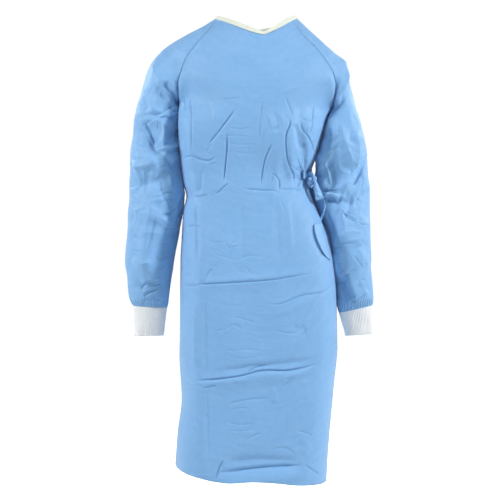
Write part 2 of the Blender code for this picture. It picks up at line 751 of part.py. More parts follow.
def add_fastener(outer_back, inner_back):
    """Hook and loop below the neck edge: a patch on the inner back panel's face, and a
    tab under the outer panel that meets it."""
    margins = np.array([0.08, 0.9])[:, None, None]
    places, outs = (mix(part[1, 8:12], part[2, 8:12], margins) for part in inner_back)
    base = places + outs * SEAM
    add_wall("neck_patch", base + outs * FASTENER, base, TAPE_WHITE)
    places, outs = (mix(part[1, 11:15], part[2, 11:15], margins) for part in outer_back)
    base = places - outs * (CLOTH + SEAM)
    add_wall("neck_tab", base, base - outs * FASTENER, TAPE_WHITE)


def on_front(x, drop):
    """The front panel's surface and normal at a place seen from the front."""
    x, drop = np.broadcast_arrays(x, drop)
    low, high = np.zeros(x.shape), np.ones(x.shape)
    for _ in range(40):
        u = (low + high) / 2
        short = body_base(u, level_at(u, drop, -1), -1)[..., 0] < x
        low, high = np.where(short, u, low), np.where(short, high, u)
    v = level_at(u, drop, -1)
    form = body_form(-1, FRONT_FOLDS)
    return form(u, v), body_out(form, u, v, -1)


def add_wrap_belt(outer_back, inner_back):
    """The outer panel's belt: sewn near its free edge, then round the wearer's left
    side on the inner panel, and off it to the knot."""
    rows = slice(BELT_ROW, BELT_ROW + 2)
    edge, edge_out = (part[rows, -3:] for part in outer_back)
    free_u = wrap_ends(1.2)[0] + 0.025
    columns = np.linspace(1, wrap_ends(1.2)[1], INNER_BACK_COLUMNS + 1)
    last = int(np.sum(columns > free_u))
    side, side_out = (part[rows, last - 1::-1] for part in inner_back)
    knot = np.array(KNOT)
    ends = []
    for share, half_width, x, y in ((0.5, 0.012, 0.1335, -0.026), (1, 0.007, 0.1338, -0.0553)):
        drop = mix(BELT_DROP, -knot[2], share)
        ends.append([[x, y, -drop + half_width], [x, y, -drop - half_width]])
    ends = np.array(ends).transpose(1, 0, 2)
    ends_out = np.broadcast_to(np.array([0.97, -0.24, 0.0]), ends.shape)
    places = np.concatenate([edge, side, ends], axis=1)
    outs = np.concatenate([edge_out, side_out, ends_out], axis=1)
    base = places + outs * SEAM
    add_wall("belt_wrap", base + outs * BELT_CLOTH, base, BELT_BLUE)


def add_anchor(front):
    """The short belt sewn to the front, gathered where it leaves for the knot."""
    sewn = []
    for column, margin in ((-6, 0.15), (-5, 0.24)):
        place, out = (part[BELT_ROW : BELT_ROW + 2, column] for part in front)
        sewn.append([mix(place[0], place[1], share) + out[0] * SEAM
                     for share in (margin, 1 - margin)])
    free = [[(x, y, -drop + half), (x, y, -drop - half)]
            for x, y, drop, half in ((0.1150, -0.0665, 0.402, 0.0070),
                                     (0.1226, -0.0658, 0.407, 0.0055))]
    base = np.array(sewn + free).transpose(1, 0, 2)
    out = unit(np.array([[0.35, -0.94, 0.0]] * 2 + [[0.15, -0.99, 0.0]] * 2))[None]
    add_wall("belt_anchor", base + out * (BELT_CLOTH + SEAM), base + out * SEAM, BELT_BLUE)


def add_knot():
    """The knot: a rounded body with two turns of the belt round it."""
    bm = bmesh.new()
    rings, sides = 12, 16
    middle = np.array(KNOT)
    rows = []
    for r in range(1, rings):
        tilt = math.pi * r / rings
        row = []
        for k in range(sides):
            turn = math.tau * k / sides
            swell = 1 + 0.09 * math.cos(4 * tilt + turn) + 0.05 * math.cos(3 * turn)
            spread = math.sin(tilt) ** 0.8 * swell
            offset = (spread * math.cos(turn), spread * math.sin(turn), math.cos(tilt))
            row.append(bm.verts.new(middle + np.array(offset) * np.array(KNOT_SIZE)))
        rows.append(row)
    for one, two in zip(rows, rows[1:]):
        for k in range(sides):
            bm.faces.new([one[k], two[k], two[(k + 1) % sides], one[(k + 1) % sides]])
    for row, height in ((rows[0], 1), (rows[-1], -1)):
        tip = bm.verts.new(middle + np.array([0, 0, height * KNOT_SIZE[2]]))
        for k in range(sides):
            bm.faces.new([tip, row[k], row[(k + 1) % sides]])
    add_object("belt_knot", bm, BELT_BLUE)


def add_loop():
    """The bow's one hanging loop."""
    top, way = np.array(LOOP_TOP), unit(np.array(LOOP_WAY))
    forward = np.array([0.0, -1.0, 0.0])
    across = np.cross(way, forward)
    at = np.array([top + way * p.along + forward * p.out for p in LOOP])
    run = unit(np.gradient(at, axis=0))
    out = unit(np.cross(across, run))
    half = np.array([p.half_width for p in LOOP])
    shares = np.linspace(-1, 1, 4)
    middle = at[:, None] + across * (half[:, None] * shares)[..., None]
    outs = np.broadcast_to(out[:, None], middle.shape)
    add_wall("belt_loop", middle + outs * BELT_CLOTH / 2, middle - outs * BELT_CLOTH / 2,
             BELT_BLUE)


def add_tail():
    """The belt's end: rolled into a cord below the knot, then flat on the front."""
    shares = np.linspace(-1, 1, 5)
    cord = np.array([(p.x, p.y, -p.drop) for p in TAIL_CORD])
    half = np.array([p.half_width for p in TAIL_CORD])[:, None]
    run = unit(np.gradient(cord, axis=0))
    across = unit(np.cross(run, np.array([0.0, -1.0, 0.0])))
    cord_out = np.cross(across, run)
    cord_out *= -np.sign(cord_out[:, 1:2])
    across *= np.sign(across[:, :1])
    cord_middle = cord[:, None] + across[:, None] * (half * shares)[..., None]
    roundness = np.sqrt(1 - 0.85 * shares**2)
    cord_half = 0.0020 * roundness[None, :] * np.linspace(1, 0.6, len(cord))[:, None]
    left = np.array([p.left_x for p in TAIL])[:, None]
    right = np.array([p.right_x for p in TAIL])[:, None]
    drop = np.array([p.drop for p in TAIL])[:, None]
    x = mix(left, right, (shares + 1) / 2)
    slant = (shares + 1) / 2 * np.linspace(-0.004, 0.002, len(TAIL))[:, None]
    flat, flat_out = on_front(x, drop + slant)
    lift = np.array([p.lift for p in TAIL])[:, None, None]
    middle = np.concatenate([cord_middle, flat + flat_out * lift])
    outs = np.concatenate([np.broadcast_to(cord_out[:, None], cord_middle.shape), flat_out])
    flat_half = np.full(flat.shape[:2], BELT_CLOTH / 2)
    thick = np.concatenate([cord_half, flat_half])[..., None]
    add_wall("belt_tail", middle + outs * thick, middle - outs * thick, BELT_BLUE)


def main():
    clear_scene()
    front = add_front()
    outer_back = add_outer_back()
    inner_back = add_inner_back()
    sleeves = {side.name: add_sleeve(side) for side in (LEFT, RIGHT)}
    for side in (LEFT, RIGHT):
        places, outs = sleeves[side.name]
        add_cuff(side, places[-1], outs[-1])
    runs = [
        neck_rows(inner_back, turned=True),
        neck_rows(sleeves["left"], turned=True),
        neck_rows(front, turned=True),
        neck_rows(sleeves["right"]),
        neck_rows(outer_back),
    ]
    add_binding(runs)
    add_fastener(outer_back, inner_back)
    add_wrap_belt(outer_back, inner_back)
    add_anchor(front)
    add_knot()
    add_loop()
    add_tail()


main()
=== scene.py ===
import math
import bpy
import numpy as np
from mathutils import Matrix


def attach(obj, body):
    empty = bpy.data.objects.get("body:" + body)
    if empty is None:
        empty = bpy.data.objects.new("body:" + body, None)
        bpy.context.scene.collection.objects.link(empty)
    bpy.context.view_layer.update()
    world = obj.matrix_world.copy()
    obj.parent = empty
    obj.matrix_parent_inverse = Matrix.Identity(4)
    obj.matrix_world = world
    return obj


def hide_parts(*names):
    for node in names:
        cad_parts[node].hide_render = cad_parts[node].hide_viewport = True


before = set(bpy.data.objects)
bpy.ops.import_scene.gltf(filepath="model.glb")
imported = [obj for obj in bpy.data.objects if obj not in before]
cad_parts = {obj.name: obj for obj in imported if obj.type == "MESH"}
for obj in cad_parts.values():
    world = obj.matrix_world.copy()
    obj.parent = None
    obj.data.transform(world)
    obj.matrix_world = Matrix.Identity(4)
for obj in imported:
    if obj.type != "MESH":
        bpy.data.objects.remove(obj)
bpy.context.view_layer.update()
print("frame loaded:", len(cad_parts), "nodes")

# Shape tables, in metres. The first column of each is the place along it. Drops are
# depths below the neck points. The wearer faces -Y and the wearer's left is +X.
profile = {
    "drop": [0, 0.05, 0.12, 0.2, 0.3, 0.4, 0.5, 0.6, 0.75, 0.95, 1.18],
    "front": [-0.07, -0.08, -0.104, -0.124, -0.131, -0.119, -0.125, -0.138, -0.148, -0.15, -0.146],
    "back": [0.078, 0.092, 0.114, 0.127, 0.127, 0.113, 0.122, 0.139, 0.149, 0.152, 0.154],
}
sideSeams = {
    "right": {
        "drop": [
            0.22, 0.26, 0.31, 0.36, 0.415, 0.452, 0.485,
            0.56, 0.61, 0.75, 0.85, 0.955, 1.03, 1.115,
        ],
        "x": [
            -0.195, -0.197, -0.197, -0.193, -0.188, -0.178, -0.185,
            -0.1895, -0.1925, -0.1935, -0.1945, -0.1905, -0.199, -0.206,
        ],
    },
    "left": {
        "drop": [
            0.2385, 0.26, 0.31, 0.36, 0.405, 0.452, 0.485, 0.52,
            0.56, 0.61, 0.662, 0.75, 0.825, 0.915, 1.03, 1.152,
        ],
        "x": [
            0.18, 0.171, 0.157, 0.142, 0.129, 0.135, 0.146, 0.16,
            0.175, 0.186, 0.191, 0.196, 0.1975, 0.189, 0.178, 0.169,
        ],
    },
}
raglans = {
    "right": {
        "share": [0, 0.15, 0.3, 0.45, 0.6, 0.8, 1],
        "x": [-0.0965, -0.1235, -0.1524, -0.1743, -0.187, -0.1962, -0.195],
        "drop": [0.006, 0.044, 0.08, 0.113, 0.145, 0.186, 0.22],
        "frontY": [-0.022, -0.045, -0.062, -0.074, -0.074, -0.05, 0],
        "backY": [0.04, 0.06, 0.078, 0.088, 0.086, 0.056, 0],
    },
    "left": {
        "share": [0, 0.15, 0.3, 0.45, 0.6, 0.8, 1],
        "x": [0.0805, 0.108, 0.1389, 0.1637, 0.183, 0.19, 0.18],
        "drop": [0.008, 0.052, 0.086, 0.12, 0.153, 0.194, 0.2385],
        "frontY": [-0.028, -0.048, -0.062, -0.074, -0.074, -0.05, 0],
        "backY": [0.04, 0.06, 0.078, 0.088, 0.086, 0.056, 0],
    },
}
shoulders = {
    "right": {
        "share": [0, 0.15, 0.3, 0.45, 0.6, 0.8, 1],
        "x": [-0.096, -0.136, -0.179, -0.218, -0.249, -0.275, -0.293],
        "drop": [0, 0.026, 0.0485, 0.072, 0.096, 0.138, 0.195],
    },
    "left": {
        "share": [0, 0.15, 0.3, 0.45, 0.6, 0.8, 1],
        "x": [0.092, 0.122, 0.152, 0.184, 0.213, 0.222, 0.235],
        "drop": [0, 0.03, 0.059, 0.089, 0.114, 0.148, 0.196],
    },
}
sleeveRings = {
    "right": {
        "share": [0, 0.08, 0.2, 0.3, 0.4, 0.48, 0.65, 0.77, 0.86, 0.95, 1],
        "innerX": [
            -0.1954, -0.1972, -0.1968, -0.1932, -0.1872, -0.1822,
            -0.1975, -0.2075, -0.214, -0.2205, -0.225,
        ],
        "innerDrop": [0.22, 0.262, 0.322, 0.372, 0.422, 0.458, 0.55, 0.607, 0.65, 0.7, 0.727],
        "outerX": [
            -0.293, -0.304, -0.312, -0.317, -0.3185, -0.319,
            -0.323, -0.3275, -0.324, -0.3185, -0.309,
        ],
        "outerDrop": [0.195, 0.245, 0.312, 0.366, 0.42, 0.46, 0.552, 0.612, 0.652, 0.702, 0.723],
        "depth": [0.06, 0.061, 0.06, 0.059, 0.058, 0.057, 0.054, 0.051, 0.047, 0.04, 0.024],
        "middleY": [
            0, -0.014, -0.024, -0.026, -0.025, -0.024,
            -0.024, -0.026, -0.028, -0.031, -0.032,
        ],
    },
    "left": {
        "share": [0, 0.06, 0.14, 0.22, 0.3, 0.38, 0.46, 0.54, 0.62, 0.7, 0.78, 0.86, 0.95, 1],
        "innerX": [
            0.1804, 0.1702, 0.1602, 0.1482, 0.1432, 0.144, 0.1345,
            0.1455, 0.161, 0.176, 0.1862, 0.191, 0.194, 0.2,
        ],
        "innerDrop": [
            0.2385, 0.264, 0.3, 0.338, 0.372, 0.402, 0.44,
            0.482, 0.522, 0.565, 0.612, 0.655, 0.71, 0.74,
        ],
        "outerX": [
            0.235, 0.245, 0.2545, 0.263, 0.2695, 0.2745, 0.278,
            0.2785, 0.2785, 0.279, 0.279, 0.282, 0.285, 0.2835,
        ],
        "outerDrop": [
            0.196, 0.23, 0.275, 0.318, 0.36, 0.4, 0.442,
            0.485, 0.525, 0.568, 0.612, 0.652, 0.698, 0.721,
        ],
        "depth": [
            0.062, 0.062, 0.061, 0.06, 0.059, 0.058, 0.057,
            0.056, 0.054, 0.052, 0.05, 0.046, 0.039, 0.024,
        ],
        "middleY": [
            0, -0.014, -0.025, -0.028, -0.022, -0.016, -0.016,
            -0.02, -0.025, -0.029, -0.031, -0.032, -0.033, -0.034,
        ],
    },
}
yoke = {
    "share": [0, 0.15, 0.3, 0.45, 0.6, 0.8, 1],
    "middleDrop": [0.053, 0.078, 0.105, 0.132, 0.16, 0.195, 0.229],
    "backDrop": [0.021, 0.055, 0.088, 0.12, 0.152, 0.192, 0.229],
    "edgeAngle": [20, 36, 44, 42, 32, 15, 0],
    "shoulderReach": [0.014, 0.03, 0.04, 0.046, 0.056, 0.07, 0.08],
}
wraps = {
    "level": [0, 0.5, 1, 1.2, 1.5, 2],
    "outerEnd": [0.66, 0.72, 0.8, 0.85, 0.82, 0.78],
    "innerEnd": [0.4, 0.36, 0.32, 0.3, 0.3, 0.3],
}
hem = {
    "share": [0, 0.154, 0.265, 0.362, 0.51, 0.66, 0.8, 1],
    "front": [1.115, 1.1302, 1.1387, 1.1419, 1.139, 1.1419, 1.1485, 1.152],
    "back": [1.115, 1.121, 1.126, 1.13, 1.135, 1.14, 1.145, 1.152],
}

gown = {
    "clothThickness": 0.0009,
    "seamGap": 0.0003,
    "neckLowX": 0.014,
    "overlapLift": 0.0075,
    "puckerHeight": 0.0005,
    "puckerPitch": 0.012,
    "puckerReach": 0.012,
    "puckerStart": 0.004,
}
fullArch = 4 / 3
smallStep = 1e-4
signs = {"left": 1, "right": -1}


# Smooth between the rows, with no overshoot
def readTable(table, column, at):
    places = np.array(next(iter(table.values())), float)
    values = np.array(table[column], float)
    at = np.clip(at, places[0], places[-1])
    steps = np.diff(places)
    slopes = np.diff(values) / steps
    tangents = np.concatenate([slopes[:1], np.zeros(len(slopes) - 1), slopes[-1:]])
    before, after = slopes[:-1], slopes[1:]
    same = before * after > 0
    tangents[1:-1][same] = 2 * before[same] * after[same] / (before + after)[same]
    index = np.clip(np.searchsorted(places, at, side="right") - 1, 0, len(steps) - 1)
    width = steps[index]
    t = (at - places[index]) / width
    return (
        values[index] * (1 + 2 * t) * (1 - t) ** 2
        + values[index + 1] * t * t * (3 - 2 * t)
        + width * (tangents[index] * t * (1 - t) ** 2 - tangents[index + 1] * t * t * (1 - t))
    )


def ease(t):
    t = np.clip(t, 0, 1)
    return t * t * (3 - 2 * t)


def mix(a, b, share):
    return a + (b - a) * share


# 1 at zero, falling off to both sides
def bell(t):
    return np.exp(-(t**2))


def unit(vectors):
    return vectors / np.maximum(np.linalg.norm(vectors, axis=-1, keepdims=True), 1e-12)


def points(x, y, z):
    return np.stack(np.broadcast_arrays(x, y, z), axis=-1)


# The gown's form: the same surfaces as the solids have
def seamPoint(sideName, share, facing):
    table = raglans[sideName]
    column = "frontY" if facing < 0 else "backY"
    return points(
        readTable(table, "x", share),
        readTable(table, column, share),
        -readTable(table, "drop", share),
    )


# u from the wearer's right to left, v from the neck by the underarm (1) to the hem (2)
def bodyBase(u, v, facing):
    u, v = np.broadcast_arrays(np.asarray(u, float), np.asarray(v, float))
    share = np.minimum(v, 1)
    below = np.maximum(v - 1, 0)
    column = "front" if facing < 0 else "back"
    edgeAngle = np.radians(readTable(yoke, "edgeAngle", share))
    boxiness = mix(1.0, 0.82, share)
    angle = (math.pi - edgeAngle) - (math.pi - 2 * edgeAngle) * u
    across = (1 + np.cos(angle) / np.cos(edgeAngle)) / 2
    low = np.sin(edgeAngle) ** boxiness
    bulge = (np.maximum(np.sin(angle), 0) ** boxiness - low) / (1 - low)
    ends = [seamPoint(name, share, facing) for name in ("right", "left")]
    chord = mix(ends[0], ends[1], across[..., None])
    middle = (ends[0] + ends[1]) / 2
    middleDrop = readTable(yoke, "middleDrop" if facing < 0 else "backDrop", share)
    sharpness = mix(1.15, 2.0, ease(share * 3))
    lowX = gown["neckLowX"] * (1 - ease(share * 2)) if facing < 0 else 0
    reach = np.where(chord[..., 0] > lowX, ends[1][..., 0] - lowX, lowX - ends[0][..., 0])
    sag = 1 - np.clip(np.abs(chord[..., 0] - lowX) / reach, 0, 1) ** sharpness
    drop = -chord[..., 2] + (middleDrop + middle[..., 2]) * sag
    yokePlace = points(
        chord[..., 0],
        chord[..., 1] + (readTable(profile, column, middleDrop) - middle[..., 1]) * bulge,
        -drop,
    )
    drop = mix(drop, readTable(hem, column, across), below)
    sideX = [
        readTable(seam, "x", mix(seam["drop"][0], seam["drop"][-1], below))
        for seam in (sideSeams["right"], sideSeams["left"])
    ]
    skirtPlace = points(
        mix(sideX[0], sideX[1], across), readTable(profile, column, drop) * bulge, -drop
    )
    return np.where((v <= 1)[..., None], yokePlace, skirtPlace)


def arch(start, startWay, end, endWay, t):
    t = t[..., None]
    return (
        start * (1 - t) ** 3
        + 3 * (start + startWay) * t * (1 - t) ** 2
        + 3 * (end + endWay) * t * t * (1 - t)
        + end * t**3
    )


# a from the front seam (0) over the arm (0.5) to the back seam (1), v as on the body
def sleeveBase(sideName, a, v):
    sign = signs[sideName]
    a, v = np.broadcast_arrays(np.asarray(a, float), np.asarray(v, float))
    share = np.minimum(v, 1)
    below = np.maximum(v - 1, 0)
    inFront = a <= 0.5
    facing = np.where(inFront, -1.0, 1.0)
    t = np.where(inFront, 2 * a, 2 - 2 * a)
    uInside = (1.0 if sign > 0 else 0.0) - sign * 0.01
    starts, ways = [], []
    for way in (-1, 1):
        edge = seamPoint(sideName, share, way)
        tangent = unit(edge - bodyBase(uInside, share, way))
        valley = ease((share - 0.45) / 0.55)[..., None]
        gapWay = unit(mix(tangent, np.array([sign, 0.0, 0.0]), valley))
        starts.append(edge + gapWay * gown["seamGap"])
        turned = mix(tangent, np.array([sign * 0.25, way, 0.0]), valley)
        closing = (share >= 1)[..., None]
        ways.append(unit(np.where(closing, np.array([0.0, way, 0.0]), turned)))
    start = np.where(inFront[..., None], starts[0], starts[1])
    wayOut = np.where(inFront[..., None], ways[0], ways[1])
    shoulder = shoulders[sideName]
    top = points(readTable(shoulder, "x", share), 0.004, -readTable(shoulder, "drop", share))
    ring = sleeveRings[sideName]
    depth = readTable(ring, "depth", below)
    middleY = readTable(ring, "middleY", below)
    lowerStart = points(
        readTable(ring, "innerX", below), middleY, -readTable(ring, "innerDrop", below)
    )
    lowerTop = points(
        readTable(ring, "outerX", below),
        middleY + 0.004 * (1 - below),
        -readTable(ring, "outerDrop", below),
    )
    yokeRow = (v < 1)[..., None]
    begin = np.where(yokeRow, start, lowerStart)
    end = np.where(yokeRow, top, lowerTop)
    distance = np.linalg.norm(end - begin, axis=-1)
    startReach = mix(0.38 * distance, fullArch * depth, ease((share - 0.4) / 0.6))
    endReach = np.where(v < 1, readTable(yoke, "shoulderReach", share), fullArch * depth)
    along = facing[..., None] * np.array([0.0, 1.0, 0.0])
    return arch(begin, wayOut * startReach[..., None], end, along * endReach[..., None], t)


def formNormals(form, u, v):
    u, v = np.broadcast_arrays(np.asarray(u, float), np.asarray(v, float))
    u0, u1 = np.maximum(u - smallStep, 0), np.minimum(u + smallStep, 1)
    v0, v1 = np.maximum(v - smallStep, 0), np.minimum(v + smallStep, 2)
    above = np.where(v >= 1, np.maximum(v0, 1), v0)
    beneath = np.where(v < 1, np.minimum(v1, 1 - 1e-9), v1)
    return unit(np.cross(form(u1, v) - form(u0, v), form(u, beneath) - form(u, above)))


# Rows of points drawn finer along their run with a cubic through each row
def smoothRows(rows, count):
    rows = np.asarray(rows, float)
    size = len(rows)
    at = np.linspace(0, size - 1, count)
    index = np.clip(at.astype(int), 0, size - 2)
    t = (at - index).reshape((-1,) + (1,) * (rows.ndim - 1))
    padded = np.concatenate([2 * rows[:1] - rows[1:2], rows, 2 * rows[-1:] - rows[-2:-1]])
    a, b, c, d = (padded[index + k] for k in range(4))
    return 0.5 * (
        2 * b + (c - a) * t + (2 * a - 5 * b + 4 * c - d) * t**2 + (3 * b - a - 3 * c + d) * t**3
    )


# Creases, in millimetres: reach to each side, height (it stands out where positive), the
# side of a low lip beside it (1 below or left, -1 above or right, 0 none), and the points
# of its line, x and drop in turn, seen from the front.
creaseUnit = 0.001
creaseForm = {"sharpBelow": 0.0043, "sharpReach": 0.6, "lip": 0.22}


# The main folds, as the solids have them: x0, drop0, x1, drop1, width, height
def foldHeight(folds, place):
    total = np.zeros(place.shape[:-1])
    for x0, drop0, x1, drop1, width, height in folds:
        start = np.array([x0, -drop0])
        run = np.array([x1, -drop1]) - start
        offset = place[..., [0, 2]] - start
        share = np.clip(offset @ run / (run @ run), 0, 1)
        away = np.linalg.norm(offset - share[..., None] * run, axis=-1)
        taper = 0.35 + 0.65 * np.sin(math.pi * share)
        total += height * taper * np.exp(-((away / width) ** 2) * 2)
    return total


# A sharp crease is a narrow groove with a low lip beside it, and a wide one is a soft trough.
# Where the lip is 2, it is the edge between two flat faces of the cloth.
def creaseHeight(creases, x, drop):
    total = np.zeros(x.shape)
    for number, (reach, height, lip, *line) in enumerate(creases):
        reach, height = reach * creaseUnit, height * creaseUnit
        line = np.array(line).reshape(-1, 2) * creaseUnit
        margin = 7 * reach
        near = (
            (x > line[:, 0].min() - margin) & (x < line[:, 0].max() + margin)
            & (drop > line[:, 1].min() - margin) & (drop < line[:, 1].max() + margin)
        )
        if not near.any():
            continue
        line = smoothRows(line, 5 * len(line))
        runs = np.diff(line, axis=0)
        lengths = np.linalg.norm(runs, axis=1)
        starts = np.concatenate([[0], np.cumsum(lengths)[:-1]])
        place = np.stack([x[near], drop[near]], axis=-1)
        best = np.full(len(place), np.inf)
        side, run = np.zeros(len(place)), np.zeros(len(place))
        for start, way, length, before in zip(line, runs / lengths[:, None], lengths, starts):
            offset = place - start
            along = np.clip(offset @ way, 0, length)
            away = np.linalg.norm(offset - along[:, None] * way, axis=1)
            closer = away < best
            best = np.where(closer, away, best)
            turn = offset[:, 1] * way[0] - offset[:, 0] * way[1]
            side = np.where(closer, np.sign(turn), side)
            run = np.where(closer, before + along, run)
        share = run / lengths.sum()
        taper = ease(share / 0.22) * ease((1 - share) / 0.22)
        slowSide = lip if lip in (1, -1) else (1 if number % 3 else -1)
        if reach < creaseForm["sharpBelow"]:
            shape = np.exp(-((best / (creaseForm["sharpReach"] * reach)) ** 1.4))
            beside = side * best - slowSide * 2.6 * reach
            shape = shape - creaseForm["lip"] * bell(beside / (2 * reach))
        elif lip == 2:
            shape = 1.5 * np.exp(-((best / (1.3 * reach)) ** 1.05))
        else:
            shape = np.exp(-((best / (np.where(side * slowSide > 0, 1.4, 0.75) * reach)) ** 1.5))
        total[near] += height * taper * shape
    return total


# A soft irregular height, about -1 to 1, with waves near the given size
def ripples(place, size, seed, count=14):
    rng = np.random.default_rng(seed)
    total = np.zeros(place.shape[:-1])
    for _ in range(count):
        way = rng.normal(size=3)
        way *= rng.uniform(0.7, 1.5) / (np.linalg.norm(way) * size)
        total += np.sin(place @ way * math.tau + rng.uniform(0, math.tau))
    return total / math.sqrt(count)


# Sharp small ridges, as in cloth that was pressed and let go: 0 to 1
def crumple(place, size, seed):
    bent = place + 0.35 * size * np.stack(
        [ripples(place, size * 1.6, seed + k, 6) for k in range(3)], axis=-1
    )
    first = 1 - np.abs(ripples(bent, size, seed + 3, 8)) / 1.2
    second = 1 - np.abs(ripples(bent, size * 0.6, seed + 4, 8)) / 1.2
    return 0.7 * np.maximum(first, 0) ** 1.5 + 0.3 * np.maximum(second, 0) ** 1.5


def runLengths(grid, axis):
    steps = np.linalg.norm(np.diff(grid, axis=axis), axis=-1)
    zero = np.zeros_like(np.take(steps, [0], axis=axis))
    return np.concatenate([zero, np.cumsum(steps, axis=axis)], axis=axis)


def selectOnly(obj):
    bpy.ops.object.select_all(action="DESELECT")
    obj.select_set(True)
    bpy.context.view_layer.objects.active = obj


def editWhole(obj, change):
    selectOnly(obj)
    bpy.ops.object.mode_set(mode="EDIT")
    bpy.ops.mesh.select_all(action="SELECT")
    change()
    bpy.ops.object.mode_set(mode="OBJECT")


# Fewer triangles where the cloth is smooth, so that the creases keep theirs
def thinOut(obj, triangles):
    selectOnly(obj)
    fewer = obj.modifiers.new("fewer", "DECIMATE")
    fewer.ratio = triangles / (2 * len(obj.data.polygons))
    bpy.ops.object.modifier_apply(modifier=fewer.name)


# A sheet of quads on a grid of points, with its cloth size and seam distances as UVs
def makeSheet(
    name, grid, outward, seams=(True, True), closedFrom=None, thickness=None, triangles=None
):
    rows, columns = grid.shape[:2]
    index = np.arange(rows * columns).reshape(rows, columns)
    raw = index.copy()
    if closedFrom is not None:
        index[closedFrom:, -1] = index[closedFrom:, 0]
    order = [(0, 0), (1, 0), (1, 1), (0, 1)]
    middle = (rows // 2, columns // 2)
    side = np.cross(
        grid[middle[0] + 1, middle[1]] - grid[middle],
        grid[middle[0], middle[1] + 1] - grid[middle],
    )
    if side @ outward[middle] < 0:
        order.reverse()
    cut = lambda table: np.stack(
        [table[r : rows - 1 + r, c : columns - 1 + c] for r, c in order], axis=-1
    ).reshape(-1, 4)
    corners, rawCorners = cut(index), cut(raw)
    used, corners = np.unique(corners, return_inverse=True)
    mesh = bpy.data.meshes.new(name)
    mesh.from_pydata(grid.reshape(-1, 3)[used].tolist(), [], corners.reshape(-1, 4).tolist())
    across, along = runLengths(grid, 1), runLengths(grid, 0)
    centred = across - across[:, [columns // 2]]
    fromSeam = np.full(across.shape, 1.0)
    if seams[0]:
        fromSeam = np.minimum(fromSeam, across)
    if seams[1]:
        fromSeam = np.minimum(fromSeam, across[:, [-1]] - across)
    for label, pair in (("cloth", (centred, along)), ("seam", (fromSeam, along))):
        values = np.stack(pair, axis=-1).reshape(-1, 2)[rawCorners.reshape(-1)]
        mesh.uv_layers.new(name=label).data.foreach_set("uv", values.reshape(-1))
    mesh.uv_layers["cloth"].active_render = True
    mesh.shade_smooth()
    obj = bpy.data.objects.new(name, mesh)
    bpy.context.scene.collection.objects.link(obj)
    if triangles:
        thinOut(obj, triangles)
    wall = obj.modifiers.new("wall", "SOLIDIFY")
    wall.thickness = gown["clothThickness"] if thickness is None else thickness
    wall.offset = -1
    return obj


# Normals of a finished grid, turned the way that outward points
def gridNormals(grid, outward, closedFrom=None):
    across, along = np.gradient(grid, axis=1), np.gradient(grid, axis=0)
    if closedFrom is not None:
        ring = slice(closedFrom, None)
        joined = grid[ring, 1] - grid[ring, -2]
        across[ring, 0] = across[ring, -1] = joined
    normal = unit(np.cross(across, along))
    return normal * np.sign(np.sum(normal * outward, axis=-1, keepdims=True))


# Small waves beside a seam, as sewing leaves them
def pucker(place, fromSeam, seed):
    along = runLengths(place, 0)
    wave = np.sin(along / gown["puckerPitch"] * math.tau + 1.5 * ripples(place, 0.05, seed + 7))
    near = np.exp(-fromSeam / gown["puckerReach"]) * ease(fromSeam / gown["puckerStart"])
    return gown["puckerHeight"] * near * wave


# How far the seams at the arm and side stand forward, by level: 1 is the underarm
seamForward = {
    "level": [0, 0.45, 0.6, 0.8, 0.93, 1, 1.04, 1.1, 1.14, 1.17, 1.22, 1.27, 1.5, 1.56, 2],
    "out": [0, 0, 0.004, 0.018, 0.032, 0.03, 0.025, 0.015, 0.006, 0, 0, 0.008, 0.008, 0, 0],
}


def pullSeam(place, v, edge, reach, facing):
    out = readTable(seamForward, "out", v)
    if facing > 0:
        out = np.where(v < 1, seamForward["out"][5] * bell((1 - v) / 0.12), out)
    place[..., 1] -= out * bell(edge / reach)
    return place


# How square the front's section is towards the side seams, and where the belt keeps it round
bodyCorner = {"power": 1.75, "beltDrop": 0.41, "beltReach": 0.045}


def squareBody(place, u, v):
    drop = -place[..., 2]
    depth = readTable(profile, "front", drop)
    share = np.clip(place[..., 1] / depth, 0, 1)
    near = bell((drop - bodyCorner["beltDrop"]) / bodyCorner["beltReach"]) * (u > 0.5)
    weight = ease((v - 1) / 0.06) * (1 - near)
    square = depth * (1 - (1 - share) ** bodyCorner["power"])
    place[..., 1] = mix(place[..., 1], square, weight)
    return place


# No kink along the row at the underarm, where the yoke turns into the body or arm
def softenRows(grid, v, edge, reach, rows=9):
    steps = np.arange(-3 * rows, 3 * rows + 1)
    weights = bell(steps / rows)
    weights /= weights.sum()
    padded = np.pad(grid, ((3 * rows, 3 * rows), (0, 0), (0, 0)), mode="edge")
    smooth = sum(w * padded[k : k + len(grid)] for k, w in enumerate(weights))
    share = ease(1.6 - 1.6 * np.abs(v - 1) / reach) * ease(edge / 0.08)
    return mix(grid, smooth, share[..., None])


# Levels of the rows: the second row lies at the lower edge of the neck binding
def rowLevels(form, u, band, yokeRows, bodyRows, power=1.0):
    speed = np.linalg.norm(form(u, 0 * u + 0.03) - form(u, 0 * u), axis=-1) / 0.03
    top = (0 * u)[None]
    rows = mix(band / speed, 1, np.linspace(0, 1, yokeRows)[:, None])
    lower = 1 + np.linspace(0, 1, bodyRows + 1)[1:, None] ** power + 0 * u
    return np.concatenate([top, rows, lower])


def wrapEnds(v):
    return readTable(wraps, "outerEnd", v), readTable(wraps, "innerEnd", v)


def wrapLift(u, v):
    return gown["overlapLift"] * ease((u - (wrapEnds(v)[1] - 0.13)) / 0.12)


